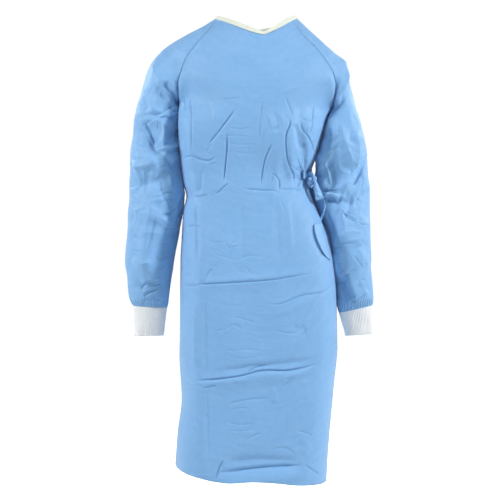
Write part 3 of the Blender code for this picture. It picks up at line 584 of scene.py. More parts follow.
# Body panels
frontPanel = {
    "columns": 400,
    "yokeRows": 130,
    "skirtRows": 700,
    "triangles": 94000,
    "bindingWidth": 0.0112,
    "bindingDipWidth": 0.0075,
    "width": 0.55,
    "ripple": 0.0016,
    "creaseStrength": 1.75,
    "folds": [
        (-0.14, 0.48, -0.135, 1.12, 0.03, 0.005),
        (-0.13, 0.67, 0.135, 0.642, 0.022, 0.0035),
        (-0.14, 0.905, 0.14, 0.878, 0.022, 0.004),
        (-0.1, 1.145, 0.11, 1.125, 0.022, 0.006),
        (0.02, 0.74, 0.17, 0.69, 0.022, 0.0035),
        (0.1, 0.25, 0.112, 0.4, 0.016, -0.006),
        (0.05, 0.31, 0.035, 0.46, 0.018, 0.005),
        (-0.06, 0.24, -0.125, 0.34, 0.018, -0.004),
        (-0.08, 0.3, -0.085, 0.42, 0.018, -0.004),
        (-0.165, 0.22, -0.16, 0.38, 0.014, 0.004),
        (0.07, 0.28, 0.085, 0.44, 0.015, 0.005),
    ],
    "creases": [
        (3.2, -2.4, 0, -51, 241, -87, 289, -124, 336),
        (3.2, -2.8, 0, -75, 299, -75, 335, -78, 373, -85, 428),
        (3.0, -1.8, 0, -71, 423, -88, 438, -105, 452),
        (2.6, -1.0, 0, -75, 440, -90, 445, -107, 450),
        (3.0, -2.2, 1, -185, 364, -161, 358, -141, 366, -119, 370, -100, 358),
        (3.0, -1.3, 0, -166, 204, -161, 249, -159, 305, -159, 356),
        (2.6, -1.4, 0, -179, 212, -179, 230, -174, 250),
        (2.6, -1.0, 0, -172, 199, -169, 216, -161, 229),
        (3.4, -1.4, -1, 9, 222, 6, 273, 2, 326),
        (3.2, -2.6, 0, 35, 326, 18, 364, 11, 395, 6, 431),
        (3.2, -2.8, 0, 59, 260, 76, 277, 67, 309, 67, 344, 74, 380, 84, 406, 84, 438),
        (2.8, -1.6, 0, 101, 262, 115, 271, 130, 273, 128, 292, 120, 309),
        (2.6, -1.2, 0, 135, 236, 133, 255, 130, 273),
        (2.8, -2.0, 0, 113, 300, 128, 323, 138, 350),
        (2.6, -1.8, 0, 31, 397, 43, 409, 50, 419, 50, 441),
        (2.4, -1.0, 0, 31, 421, 33, 407, 40, 397),
        (3.0, -1.8, 1, -37, 438, 4, 441, 38, 443, 52, 450),
        (3.0, -1.8, 1, 47, 438, 79, 438, 113, 435),
        (2.8, -1.6, 0, -154, 456, -139, 456, -119, 452),
        (2.8, -1.0, 0, 55, 465, 59, 479, 67, 496),
        (8, -2.2, 0, 35, 249, 47, 275, 47, 306),
        (6, 1.4, 0, 18, 256, 28, 273, 33, 297),
        (6, 1.6, 0, 52, 253, 59, 285, 54, 316),
        (3.2, -1.0, 0, 6, 328, 14, 309, 23, 292),
        (3.0, -1.0, 0, 64, 214, 74, 241, 84, 265),
        (3.0, -1.2, 0, 103, 274, 108, 295, 120, 312),
        (9, -2.4, 0, 88, 277, 96, 313, 103, 348),
        (6, 1.8, 0, 113, 319, 120, 348, 116, 377),
        (6, 1.6, 0, 81, 284, 86, 320, 93, 356),
        (7, -1.6, 0, -134, 386, -137, 420, -141, 454),
        (7, 1.4, 0, -112, 223, -104, 272, -109, 320),
        (3.6, -1.0, 0, -37, 217, -63, 222, -92, 221),
        (3.0, -0.9, 0, -124, 348, -114, 334, -107, 329),
        (2.6, -0.9, 0, -122, 384, -112, 377, -97, 375),
        (2.6, -0.8, 0, -87, 311, -54, 311, -20, 314),
        (2.6, -0.6, 0, -68, 330, -32, 333, -6, 331),
        (2.6, -0.6, 0, -73, 292, -44, 295, -15, 292),
        (2.6, -0.7, 0, -63, 349, -30, 354, -1, 352),
        (3.4, -2.4, -1, -182, 671, -126, 667, -44, 662, 28, 657, 76, 650, 140, 638),
        (4.0, -1.4, 0, -128, 665, -121, 645, -109, 628),
        (3.0, -1.8, -1, 16, 714, 52, 714, 100, 695, 150, 687, 187, 666),
        (3.0, -1.4, -1, -182, 671, -158, 672, -133, 672),
        (3.8, -3.6, 1, -168, 899, -104, 894, -44, 886, 9, 873, 76, 872, 152, 856),
        (10, -3.0, 0, -121, 878, -32, 866, 64, 855, 144, 844),
        (2.8, -1.6, 0, -131, 917, -116, 912, -99, 908),
        (2.6, -1.2, 0, -176, 904, -158, 910, -136, 908),
        (2.6, -0.9, 0, -49, 871, -20, 859, 9, 862),
        (3.0, -1.6, 0, -30, 878, -1, 864, 23, 859),
        (5, -4.5, 1, -104, 1118, -44, 1110, 28, 1103, 115, 1100),
        (14, -4.0, 0, -87, 1093, -20, 1086, 52, 1087, 110, 1092),
        (3.0, -2.4, 0, -102, 1134, -94, 1107, -82, 1085),
        (3.0, -1.6, 0, 110, 1099, 129, 1113, 150, 1128),
        (2.8, 1.2, 0, -168, 1118, -141, 1123, -111, 1123),
        (3.0, -0.9, 0, -63, 743, -37, 750, -10, 757),
        (3.0, -0.9, 0, -77, 769, -58, 764, -37, 773),
        (2.8, -0.8, 0, -104, 779, -85, 776, -61, 767),
        (2.8, -0.8, 0, -80, 561, -73, 578, -61, 568, -49, 563),
        (2.8, -0.8, 0, -78, 585, -63, 578, -46, 575),
        (3.0, -0.8, 0, -34, 623, -20, 638, -3, 650),
        (3.0, -0.8, 0, -49, 607, -20, 599, 11, 602),
        (3.2, -0.8, 0, -80, 996, -44, 1002, -8, 997),
        (3.0, -0.8, 0, -73, 1015, -39, 1017, -1, 1012),
        (3.0, -0.9, 0, -30, 1041, -10, 1028, 9, 1021),
        (3.6, -1.2, 0, -77, 955, -32, 943, 28, 938),
        (3.0, -0.8, 0, -68, 970, -44, 962, -20, 964),
        (3.0, -0.9, 0, 90, 1016, 112, 1022, 132, 1031),
        (3.6, -1.0, 0, 28, 1062, 64, 1058, 93, 1079),
        (10, 1.8, 0, 100, 1031, 120, 1057, 107, 1080),
        (10, -1.6, 0, 81, 765, 95, 774, 115, 770),
        (3.0, -0.9, 0, 97, 791, 110, 782, 115, 772),
        (9, -1.6, 0, 43, 455, 45, 525, 52, 614),
        (9, -1.4, 0, -44, 465, -37, 537, -39, 614),
        (6, -1.8, 0, -149, 463, -146, 536, -143, 619),
        (8, 1.6, 0, -172, 463, -169, 561, -163, 634),
        (8, 1.4, 0, 69, 465, 76, 525, 81, 597),
        (3.0, -1.2, 0, -174, 531, -151, 527, -134, 532),
        (3.0, -0.9, 0, -174, 639, -161, 655, -151, 667),
        (3.0, -0.9, 0, -161, 629, -151, 648, -141, 665),
        (3.4, -1.2, 0, -126, 681, -123, 777, -126, 886),
        (8, 1.6, 0, -151, 706, -151, 803, -148, 880),
        (4, -1.2, 0, -123, 912, -121, 994, -119, 1078),
        (3.0, -0.8, 0, 32, 776, 76, 784, 100, 777),
        (3.4, -0.7, 0, -87, 827, -32, 823, 28, 828),
        (3.0, -0.6, 0, -73, 841, -32, 843, 9, 838),
        (2.8, -0.7, 0, 52, 914, 76, 896, 90, 889),
        (2.6, -0.8, 0, 59, 888, 73, 893, 85, 887),
        (8, 1.2, 0, 32, 909, 42, 931, 37, 952),
        (8, 1.2, 0, 105, 892, 112, 921, 110, 945),
        (3.0, -0.7, 0, -104, 597, -73, 604, -44, 611),
        (2.6, -0.6, 0, -126, 561, -102, 568, -78, 566),
        (3.0, -0.6, 0, -20, 690, 9, 685, 28, 676),
        (3.0, -0.6, 0, -97, 712, -63, 719, -30, 714),
        (3.0, -0.6, 0, -63, 910, -49, 900, -30, 904),
        (6, -1.4, 0, 128, 528, 130, 545, 135, 563, 144, 583, 152, 598, 163, 611),
        (2.4, -1.6, 0, 94, 361, 101, 378, 109, 393),
        (2.4, -1.4, 0, 72, 376, 87, 386, 101, 395),
        (2.4, -1.4, 0, 77, 412, 92, 408, 106, 403),
        (2.6, -1.8, 0, 94, 434, 101, 420, 111, 408),
        (2.4, -1.4, 0, 114, 361, 116, 376, 114, 391),
        (2.4, -1.2, 0, 106, 439, 111, 425, 116, 412),
        (5, -2.2, 0, 99, 383, 106, 398, 109, 412),
        (4.6, 1.4, 0, 87, 395, 99, 400, 109, 400),
    ],
}
backPanels = {
    "outerColumns": 250,
    "innerColumns": 200,
    "yokeRows": 90,
    "skirtRows": 460,
    "outerTriangles": 72000,
    "innerTriangles": 56000,
    "width": 0.55,
    "ripple": 0.0018,
    "creaseStrength": 1.5,
    "folds": [
        (-0.1, 0.18, -0.02, 0.4, 0.03, -0.005),
        (0.09, 0.18, 0.04, 0.4, 0.028, -0.005),
        (-0.15, 0.5, -0.12, 1.12, 0.03, 0.006),
        (-0.05, 0.46, -0.04, 1.12, 0.032, -0.006),
        (0.06, 0.46, 0.05, 1.12, 0.03, 0.006),
        (0.135, 0.52, 0.12, 1.12, 0.03, -0.005),
    ],
    "creases": [
        (3.4, -2.2, -1, -150, 662, -60, 660, 30, 668, 120, 676),
        (3.8, -3.0, 1, -160, 900, -60, 896, 40, 890, 140, 884),
        (10, -2.4, 0, -140, 890, -30, 884, 110, 872),
        (3.0, -1.8, 1, -120, 448, -40, 452, 60, 450, 110, 456),
        (3.2, -2.4, 0, -100, 240, -118, 300, -128, 380),
        (3.0, -2.0, 0, 22, 222, 10, 290, 2, 366),
        (3.0, -2.2, 0, -42, 304, -52, 360, -60, 428),
        (3.0, -1.8, 0, 96, 300, 84, 360, 88, 420),
        (8, 1.8, 0, -76, 470, -70, 560, -74, 650),
        (8, -1.8, 0, 20, 470, 24, 560, 16, 650),
        (3.0, -1.2, 0, -120, 760, -60, 764, 0, 770),
        (3.0, -1.2, 0, -40, 990, 20, 984, 90, 990),
        (3.2, -1.6, 0, 150, 560, 120, 600, 96, 655),
    ],
}


# Where the wearer's left side seam swells to meet the sleeve
sideFill = {"drop": [0.39, 0.405, 0.435, 0.5, 0.56], "out": [0, 0.0016, 0.0022, 0.0012, 0]}


def bodyGrid(facing, u, v, lift, settings, seed):
    base = lambda p, q: bodyBase(p, q, facing)
    edge = np.minimum(u, 1 - u)
    out = formNormals(base, u, v) * facing
    place = softenRows(base(u, v), v, edge, 0.3, 12)
    if facing < 0:
        place = squareBody(place, u, v)
    place = pullSeam(place, v, edge, 0.09, facing)
    out = gridNormals(place, out)
    height = foldHeight(settings["folds"], place) * ease(edge / 0.10) * ease(v / 0.5)
    fade = ease(edge / 0.05) * ease((v - 0.05) / 0.3)
    x, drop = place[..., 0], -place[..., 2]
    height += creaseHeight(settings["creases"], x, drop) * settings["creaseStrength"] * fade
    stretched = place * np.array([1.0, 1.0, 0.6])
    height += ripples(stretched, 0.12, seed) * settings["ripple"] * fade
    place = place + out * (height + lift)[..., None]
    place = place + out * pucker(place, edge * settings["width"], seed)[..., None]
    place[..., 1] += ease((v - 0.9) / 0.1) * facing * gown["seamGap"] / 2
    fuller = readTable(sideFill, "out", -place[..., 2]) * ease((v - 1) / 0.1)
    place[..., 0] += fuller * bell((1 - u) / 0.05)
    return place, gridNormals(place, out)


def makeFront():
    base = lambda p, q: bodyBase(p, q, -1)
    u = np.linspace(0, 1, frontPanel["columns"] + 1)
    dip = bell((u - 0.62) / 0.10)
    band = mix(frontPanel["bindingWidth"], frontPanel["bindingDipWidth"], dip)
    v = rowLevels(base, u, band, frontPanel["yokeRows"], frontPanel["skirtRows"])
    grid, out = bodyGrid(-1, np.broadcast_to(u, v.shape), v, 0 * v, frontPanel, 11)
    piece = makeSheet("gownFront", grid, out, triangles=frontPanel["triangles"])
    return piece, grid, out


def makeBack(outer):
    base = lambda p, q: bodyBase(p, q, 1)
    share = np.linspace(0, 1, backPanels["outerColumns" if outer else "innerColumns"] + 1)
    topEnd = wrapEnds(0.0)[0 if outer else 1]
    topU = share * topEnd if outer else 1 - (1 - topEnd) * share
    band = frontPanel["bindingWidth"]
    v = rowLevels(base, topU, band, backPanels["yokeRows"], backPanels["skirtRows"])
    ends = wrapEnds(v)
    u = share * ends[0] if outer else 1 - (1 - ends[1]) * share
    lift = wrapLift(u, v) if outer else 0 * v
    grid, out = bodyGrid(1, u, v, lift, backPanels, 23)
    name = "gownBackOuter" if outer else "gownBackInner"
    triangles = backPanels["outerTriangles" if outer else "innerTriangles"]
    return makeSheet(name, grid, out, seams=(True, False), triangles=triangles), grid, out


frontPiece, frontGrid, frontOut = makeFront()
outerPiece, outerGrid, outerOut = makeBack(True)
innerPiece, innerGrid, innerOut = makeBack(False)
print("body panels made")

# Sleeves
sleevePanels = {
    "innerFlat": {"left": -0.009, "right": 0.009},
    "width": 0.36,
    "columns": 290,
    "yokeRows": 120,
    "armRows": 370,
    "triangles": 78000,
    "ripple": 0.0010,
    "creaseStrength": 1.35,
    "crumpleHeight": 0.0032,
    "gatherHeight": 0.0012,
    "gatherCount": 34,
    "right": {
        "folds": [
            (-0.248, 0.17, -0.2, 0.235, 0.02, -0.012),
            (-0.285, 0.27, -0.215, 0.262, 0.018, 0.009),
            (-0.27, 0.29, -0.235, 0.37, 0.02, -0.009),
            (-0.29, 0.38, -0.205, 0.35, 0.02, 0.01),
            (-0.3, 0.43, -0.235, 0.41, 0.02, -0.007),
            (-0.285, 0.49, -0.215, 0.52, 0.02, 0.008),
            (-0.27, 0.54, -0.265, 0.66, 0.022, 0.006),
            (-0.305, 0.672, -0.24, 0.668, 0.016, -0.006),
        ],
        "creases": [
            (6, -5.0, 0, -242, 146, -235, 175, -220, 197, -203, 214, -186, 238),
            (7, 3.0, 0, -223, 165, -210, 185, -196, 199),
            (5, -4.5, 0, -281, 248, -259, 255, -240, 253, -220, 238, -201, 229),
            (3.2, -3.0, 0, -245, 265, -225, 260, -210, 260, -198, 248),
            (3.0, -2.4, 0, -284, 282, -264, 272, -242, 263),
            (2.8, -2.2, 0, -245, 263, -245, 275, -245, 292),
            (4.5, 4.0, 0, -235, 265, -232, 297, -240, 331),
            (7, -4.0, 0, -213, 272, -213, 297, -220, 321),
            (3.6, 4.0, 0, -249, 343, -230, 336, -210, 329, -196, 316),
            (6, -4.0, 0, -232, 356, -215, 373, -203, 395),
            (4.5, -3.0, 0, -286, 287, -271, 312, -257, 334, -245, 343),
            (7, -2.4, 0, -298, 390, -279, 390, -254, 395),
            (7, 2.4, 0, -298, 360, -279, 358, -257, 360),
            (3.0, -2.2, 0, -237, 419, -237, 434, -245, 446),
            (3.0, -2.0, 0, -259, 463, -240, 451, -215, 443, -201, 441),
            (3.0, -1.8, 0, -252, 478, -232, 465, -206, 460),
            (3.4, -3.2, 0, -240, 495, -225, 497, -213, 492, -198, 478),
            (3.0, 2.0, 0, -237, 509, -225, 514, -213, 507),
            (4.0, 3.0, 0, -254, 443, -259, 468, -257, 492),
            (4.5, -2.4, 0, -249, 492, -259, 541, -269, 590, -276, 646),
            (6, 2.0, 0, -267, 497, -274, 548, -284, 605, -291, 658),
            (3.4, -2.8, 0, -291, 683, -274, 668, -257, 663, -237, 658),
            (3.0, 2.2, 0, -286, 688, -267, 683, -249, 675, -235, 668),
            (3.0, -2.0, 0, -281, 702, -264, 688, -245, 680),
            (3.0, -2.0, 0, -284, 717, -276, 707, -267, 702),
            (5, -1.8, 0, -306, 551, -289, 556, -269, 556),
            (5, 1.6, 0, -306, 531, -289, 531, -271, 534),
            (3.0, -1.4, 0, -306, 585, -293, 590, -279, 587),
            (3.0, -1.2, 0, -245, 526, -230, 531, -210, 529),
            (2.8, -1.0, 0, -249, 561, -232, 568, -215, 565),
            (2.8, -1.2, 0, -259, 600, -240, 605, -220, 602),
            (3.0, -1.4, 0, -264, 634, -245, 629, -228, 622),
            (8, 3.0, 0, -259, 170, -249, 199, -249, 229),
            (7, -3.0, 0, -279, 189, -279, 219, -274, 248),
            (3.0, -1.4, 0, -269, 297, -259, 312, -252, 329),
            (3.0, -1.6, 0, -284, 258, -264, 265, -247, 265),
            (3.0, -1.6, 0, -228, 243, -215, 253, -201, 258),
            (3.0, -1.6, 0, -220, 233, -210, 243, -196, 243),
            (3.0, 1.4, 0, -296, 321, -281, 329, -264, 341),
            (5, -1.6, 0, -303, 439, -289, 453, -274, 463),
            (5, -1.4, 0, -298, 475, -284, 487, -267, 492),
            (3.0, -1.6, 0, -274, 707, -252, 705, -230, 710),
            (20, 9.5, 2, -237, 421, -254, 468, -267, 536, -276, 614, -281, 670),
            (12, 3.5, 2, -311, 382, -276, 380, -242, 373),
            (8, 5, 2, -240, 343, -215, 331, -193, 319),
            (9, 4, 2, -237, 343, -230, 312, -220, 287, -198, 282),
            (9, 4.5, 2, -240, 150, -232, 187, -218, 211, -210, 233),
            (8, -5, 2, -228, 170, -210, 197, -191, 219),
            (8, 3, 2, -298, 243, -291, 287, -267, 334),
            (7, -3.5, 2, -281, 260, -264, 297, -245, 334),
            (9, 3.5, 2, -269, 229, -240, 251, -210, 238, -193, 229),
            (7, -3.5, 2, -264, 258, -232, 265, -201, 263),
            (9, 3, 2, -303, 492, -279, 482, -254, 470),
            (8, -3, 2, -240, 429, -225, 468, -201, 487),
            (9, 2.5, 2, -289, 556, -264, 541, -225, 551),
            (7, 3, 2, -306, 605, -284, 617, -259, 614),
            (8, 3, 2, -286, 668, -264, 658, -235, 663),
        ],
    },
    "left": {
        "folds": [
            (0.2, 0.21, 0.235, 0.18, 0.016, -0.003),
            (0.225, 0.26, 0.255, 0.33, 0.022, 0.006),
            (0.185, 0.47, 0.235, 0.47, 0.018, -0.01),
            (0.2, 0.44, 0.25, 0.4, 0.02, 0.008),
            (0.23, 0.5, 0.27, 0.53, 0.018, 0.006),
            (0.225, 0.59, 0.265, 0.57, 0.022, -0.006),
            (0.215, 0.64, 0.24, 0.715, 0.018, 0.007),
        ],
        "creases": [
            (4.6, -2.6, 0, 207, 202, 202, 226, 178, 243),
            (5, 1.8, 0, 192, 189, 190, 214, 178, 233),
            (2.8, 2.2, 0, 161, 370, 170, 390, 175, 409, 180, 431),
            (3.0, -1.8, 0, 168, 365, 178, 390, 185, 419),
            (4.0, -4.0, 0, 156, 441, 175, 441, 202, 439),
            (4.0, 3.4, 0, 161, 451, 178, 448, 192, 456, 197, 475),
            (3.4, -4.0, 0, 158, 460, 173, 456, 185, 458, 195, 470),
            (4.5, 2.4, 0, 163, 473, 175, 470, 188, 478),
            (7, 4.0, 0, 258, 341, 241, 375, 219, 414, 205, 456, 200, 480),
            (3.6, -3.6, 0, 271, 348, 256, 387, 239, 417, 217, 436),
            (7, -3.0, 0, 214, 365, 224, 395, 209, 429),
            (3.0, 2.6, 0, 200, 480, 214, 495, 229, 504, 249, 512),
            (3.0, -1.8, 0, 205, 495, 217, 507, 239, 519),
            (3.0, -2.2, 0, 180, 587, 202, 573, 224, 568, 249, 563, 271, 578),
            (6, 1.8, 0, 209, 541, 234, 539, 258, 543),
            (3.0, -1.8, 0, 200, 656, 222, 641, 244, 631),
            (2.8, 2.2, 0, 200, 663, 212, 685, 227, 712),
            (3.0, -1.8, 0, 195, 668, 205, 688, 217, 710),
            (3.2, -2.8, 0, 222, 717, 241, 705, 263, 690),
            (3.0, 1.8, 0, 229, 722, 249, 710, 266, 702),
            (7, -2.6, 0, 163, 280, 161, 316, 148, 356),
            (6, 2.0, 0, 185, 263, 188, 297, 178, 341),
            (5, -1.6, 0, 229, 248, 239, 282, 249, 312),
            (5, 1.4, 0, 217, 233, 224, 268, 229, 302),
            (3.0, -1.4, 0, 183, 312, 195, 294, 207, 285),
            (3.0, -1.2, 0, 195, 277, 200, 297, 209, 312),
            (3.0, -1.2, 0, 175, 346, 192, 336, 207, 338),
            (6, -2.2, 0, 229, 453, 224, 478, 229, 497),
            (6, -1.8, 0, 178, 517, 185, 541, 180, 570),
            (5, 1.6, 0, 195, 526, 202, 551, 200, 570),
            (3.0, -1.2, 0, 229, 597, 244, 614, 256, 634),
            (3.0, -1.2, 0, 249, 585, 258, 605, 263, 629),
            (3.0, -1.4, 0, 241, 517, 253, 524, 271, 526),
            (3.0, -1.4, 0, 178, 629, 190, 619, 207, 617),
            (5, -1.6, 0, 183, 673, 190, 692, 200, 707),
            (3.0, -1.4, 0, 239, 666, 251, 658, 266, 661),
            (3.0, -1.2, 0, 234, 451, 246, 463, 263, 468),
            (14, 5, 2, 202, 263, 209, 316, 224, 365, 212, 414, 195, 448),
            (9, -5, 2, 256, 353, 251, 385, 241, 414, 222, 434),
            (10, 3.5, 2, 229, 287, 241, 341, 236, 395),
            (9, -4, 2, 166, 365, 183, 380, 190, 424, 175, 443),
            (9, 4, 2, 163, 448, 180, 453, 202, 458),
            (8, -4, 2, 163, 460, 183, 463, 202, 473),
            (12, 4.5, 2, 202, 456, 205, 497, 212, 541, 207, 568),
            (10, 3, 2, 183, 580, 212, 568, 239, 561, 263, 575),
            (10, 3, 2, 185, 590, 195, 624, 202, 656),
            (9, -4, 2, 200, 651, 214, 683, 229, 712),
            (8, 3, 2, 229, 705, 251, 695, 271, 685),
            (8, 3, 2, 241, 575, 256, 600, 268, 629),
            (10, -3, 2, 166, 478, 173, 522, 183, 561),
            (8, -3, 2, 207, 487, 229, 502, 258, 517),
        ],
    },
}


# How far the inner side of each sleeve is pushed to the body, down the arm
touching = {
    "right": {
        "drop": [0.22, 0.26, 0.32, 0.37, 0.43, 0.445, 0.458, 0.5],
        "push": [0, 0.0012, 0.0016, 0.0016, 0.0024, 0.0018, 0, 0],
    },
    "left": {
        "drop": [0.24, 0.28, 0.33, 0.36, 0.372, 0.39, 0.4, 0.43, 0.5, 0.6, 0.7, 0.73],
        "push": [0, 0.0012, 0.0022, 0.0036, 0.001, 0.001, 0.003, 0.0024, 0.0016, 0.0014, 0.0012, 0],
    },
}


# The wearer's left shoulder's outline, by drop
shoulderFit = {
    "drop": [0.08, 0.1, 0.12, 0.135, 0.155],
    "out": [0, 0.001, 0.005, 0, 0],
    "edgeDrop": [0.11, 0.121, 0.15, 0.2, 0.25, 0.285, 0.3, 0.33],
    "edgeX": [0.24, 0.2215, 0.227, 0.2387, 0.2505, 0.2585, 0.266, 0.4],
}


def makeSleeve(sideName, seed):
    base = lambda p, q: sleeveBase(sideName, p, q)
    settings = sleevePanels[sideName]
    a = np.linspace(0, 1, sleevePanels["columns"] + 1)
    v = rowLevels(
        base, a, frontPanel["bindingWidth"], sleevePanels["yokeRows"], sleevePanels["armRows"]
    )
    a = np.broadcast_to(a, v.shape)
    around = np.minimum(a, 1 - a)
    out = formNormals(base, a, v) * -signs[sideName]
    place = softenRows(base(a, v), v, around, 0.35, 12)
    place = pullSeam(place, v, a, 0.13, -1)
    place = pullSeam(place, v, 1 - a, 0.13, 1)
    flatter = ease((v - 1) / 0.1) * ease((1.9 - v) / 0.2) * sleevePanels["innerFlat"][sideName]
    beside = bell((-place[..., 2] - 0.475) / 0.05) * (sideName == "left")
    place[..., 1] += flatter * (1 - beside) * bell((a - 0.08) / 0.055)
    fit = readTable(shoulderFit, "out", -place[..., 2]) * (sideName == "left")
    place[..., 0] += fit * bell((a - 0.5) / 0.16) * ease(v / 0.4)
    out = gridNormals(place, out, sleevePanels["yokeRows"])
    height = foldHeight(settings["folds"], place)
    height = np.where(a > 0.5, height * 0.7, height)
    height *= ease(around / 0.10) * ease((v - 0.55) / 0.3) * ease((2 - v) / 0.08)
    height *= mix(0.25, 1, ease(np.abs(a - 0.5) / 0.12)) * mix(0.3, 1, ease((v - 0.95) / 0.2))
    behind = np.maximum(a - 0.5, 0) * 2
    x, drop = place[..., 0], -place[..., 2] + 0.05 * np.sin(math.pi * behind)
    fade = ease(around / 0.05) * ease((v - 0.1) / 0.4) * ease((2 - v) / 0.05)
    height += creaseHeight(settings["creases"], x, drop) * sleevePanels["creaseStrength"] * fade
    height += ripples(place, 0.07, seed) * sleevePanels["ripple"] * fade
    crumpled = bell((v - 1.42) / 0.16) + 0.7 * bell((v - 1.1) / 0.16)
    crumpled = (0.35 + crumpled) * mix(0.3, 1, ease(np.abs(a - 0.5) / 0.12)) * fade
    height += sleevePanels["crumpleHeight"] * (crumple(place, 0.075, seed + 20) - 0.4) * crumpled
    gather = np.cos(a * math.tau * sleevePanels["gatherCount"] + 2 * ripples(place, 0.05, seed + 9))
    height += sleevePanels["gatherHeight"] * gather * ease((v - 1.93) / 0.06) * ease((2 - v) / 0.01)
    place = place + out * height[..., None]
    place = place + out * pucker(place, around * sleevePanels["width"], seed)[..., None]
    closer = readTable(touching[sideName], "push", -place[..., 2])
    place[..., 0] -= signs[sideName] * closer * bell(around / 0.06) * ease((v - 1) / 0.05)
    if sideName == "left":
        farthest = np.interp(-place[..., 2], shoulderFit["edgeDrop"], shoulderFit["edgeX"])
        over = place[..., 0] - farthest
        place[..., 0] -= np.where(over > -0.002, (over + 0.002) ** 2 / (over + 0.006), 0)
    ring = sleevePanels["yokeRows"]
    place[ring:, -1] = place[ring:, 0]
    normal = gridNormals(place, out, ring)
    piece = makeSheet(
        "sleeve" + sideName.title(), place, normal,
        closedFrom=ring, triangles=sleevePanels["triangles"],
    )
    return piece, place, normal


leftSleeve, leftGrid, leftOut = makeSleeve("left", 31)
rightSleeve, rightGrid, rightOut = makeSleeve("right", 47)
print("sleeves made")

# Knitted cuffs
cuffs = {
    "ribs": 58,
    "pointsPerRib": 8,
    "rows": 30,
    "ribHeight": 0.0005,
    "thickness": 0.0022,
    "right": (-0.2335, 0.7960, -0.3070, 0.7965, 0.019, -0.036),
    "left": (0.2155, 0.7965, 0.2835, 0.7920, 0.019, -0.037),
}


# A closed ring's points, evenly shared by place in its list
def resample(ring, count):
    places = np.linspace(0, len(ring) - 1, count + 1)
    return np.stack([np.interp(places, np.arange(len(ring)), ring[:, k]) for k in range(3)], -1)


def makeCuff(sideName, top, topOut, seed):
    innerX, innerDrop, outerX, outerDrop, depth, middleY = cuffs[sideName]
    count = cuffs["ribs"] * cuffs["pointsPerRib"]
    top, topOut = resample(top, count), unit(resample(topOut, count))
    a = np.linspace(0, 1, count + 1)
    inFront = a <= 0.5
    start = np.array([innerX, middleY, -innerDrop])
    finish = np.array([outerX, middleY, -outerDrop])
    handle = np.where(inFront, -1.0, 1.0)[:, None] * np.array([0.0, fullArch * depth, 0.0])
    bottom = arch(start, handle, finish, handle, np.where(inFront, 2 * a, 2 - 2 * a))
    top = top + unit(bottom - top) * gown["seamGap"]
    shares = np.linspace(0, 1, cuffs["rows"] + 1)[:, None, None]
    grid = mix(top[None], bottom[None], shares)
    along = np.roll(bottom[:-1], -1, axis=0) - np.roll(bottom[:-1], 1, axis=0)
    along = np.concatenate([along, along[:1]])
    bottomOut = unit(np.cross(along, bottom - top))
    bottomOut *= np.sign(np.sum(bottomOut * topOut, axis=1, keepdims=True))
    out = unit(mix(topOut[None], bottomOut[None], ease(shares * 2)))
    wave = np.cos(a * math.tau * cuffs["ribs"])
    rib = cuffs["ribHeight"] * (np.clip(wave * 1.6, -1, 1) - 1) * ease(shares[..., 0] / 0.05 + 0.2)
    soft = 0.0006 * ripples(grid, 0.03, seed) * ease(shares[..., 0] / 0.2)
    grid = grid + out * (rib + soft)[..., None]
    grid[:, -1] = grid[:, 0]
    name = "cuff" + sideName.title()
    return makeSheet(name, grid, out, closedFrom=0, thickness=cuffs["thickness"])


leftCuff = makeCuff("left", leftGrid[-1], leftOut[-1], 61)
rightCuff = makeCuff("right", rightGrid[-1], rightOut[-1], 67)
print("cuffs made")

# Binding over the neck edge
binding = {
    "tape": 0.0012,
    "bulge": 0.0005,
    "inside": -0.0018,
    "facePoints": 7,
    "columns": 760,
    "measuredAt": 200,
}


def neckRuns():
    runs = [
        (innerGrid[:2, ::-1], innerOut[:2, ::-1]),
        (leftGrid[:2, ::-1], leftOut[:2, ::-1]),
        (frontGrid[:2, ::-1], frontOut[:2, ::-1]),
        (rightGrid[:2], rightOut[:2]),
        (outerGrid[:2], outerOut[:2]),
    ]
    places, outs = runs[0]
    for morePlaces, moreOuts in runs[1:]:
        seam = (places[:, -1:] + morePlaces[:, :1]) / 2
        places = np.concatenate([places[:, :-1], seam, morePlaces[:, 1:]], axis=1)
        seam = unit(outs[:, -1:] + moreOuts[:, :1])
        outs = np.concatenate([outs[:, :-1], seam, moreOuts[:, 1:]], axis=1)
    run = runLengths(places[:1], 1)[0]
    wanted = np.linspace(0, run[-1], binding["columns"])
    sharp = np.argmin(np.abs(wanted - run[np.argmin(places[0, :, 2])]))
    wanted[sharp] = run[np.argmin(places[0, :, 2])]
    along = lambda rows: np.stack(
        [[np.interp(wanted, run, row[:, k]) for k in range(3)] for row in rows]
    ).transpose(0, 2, 1)
    return along(places), unit(along(outs))


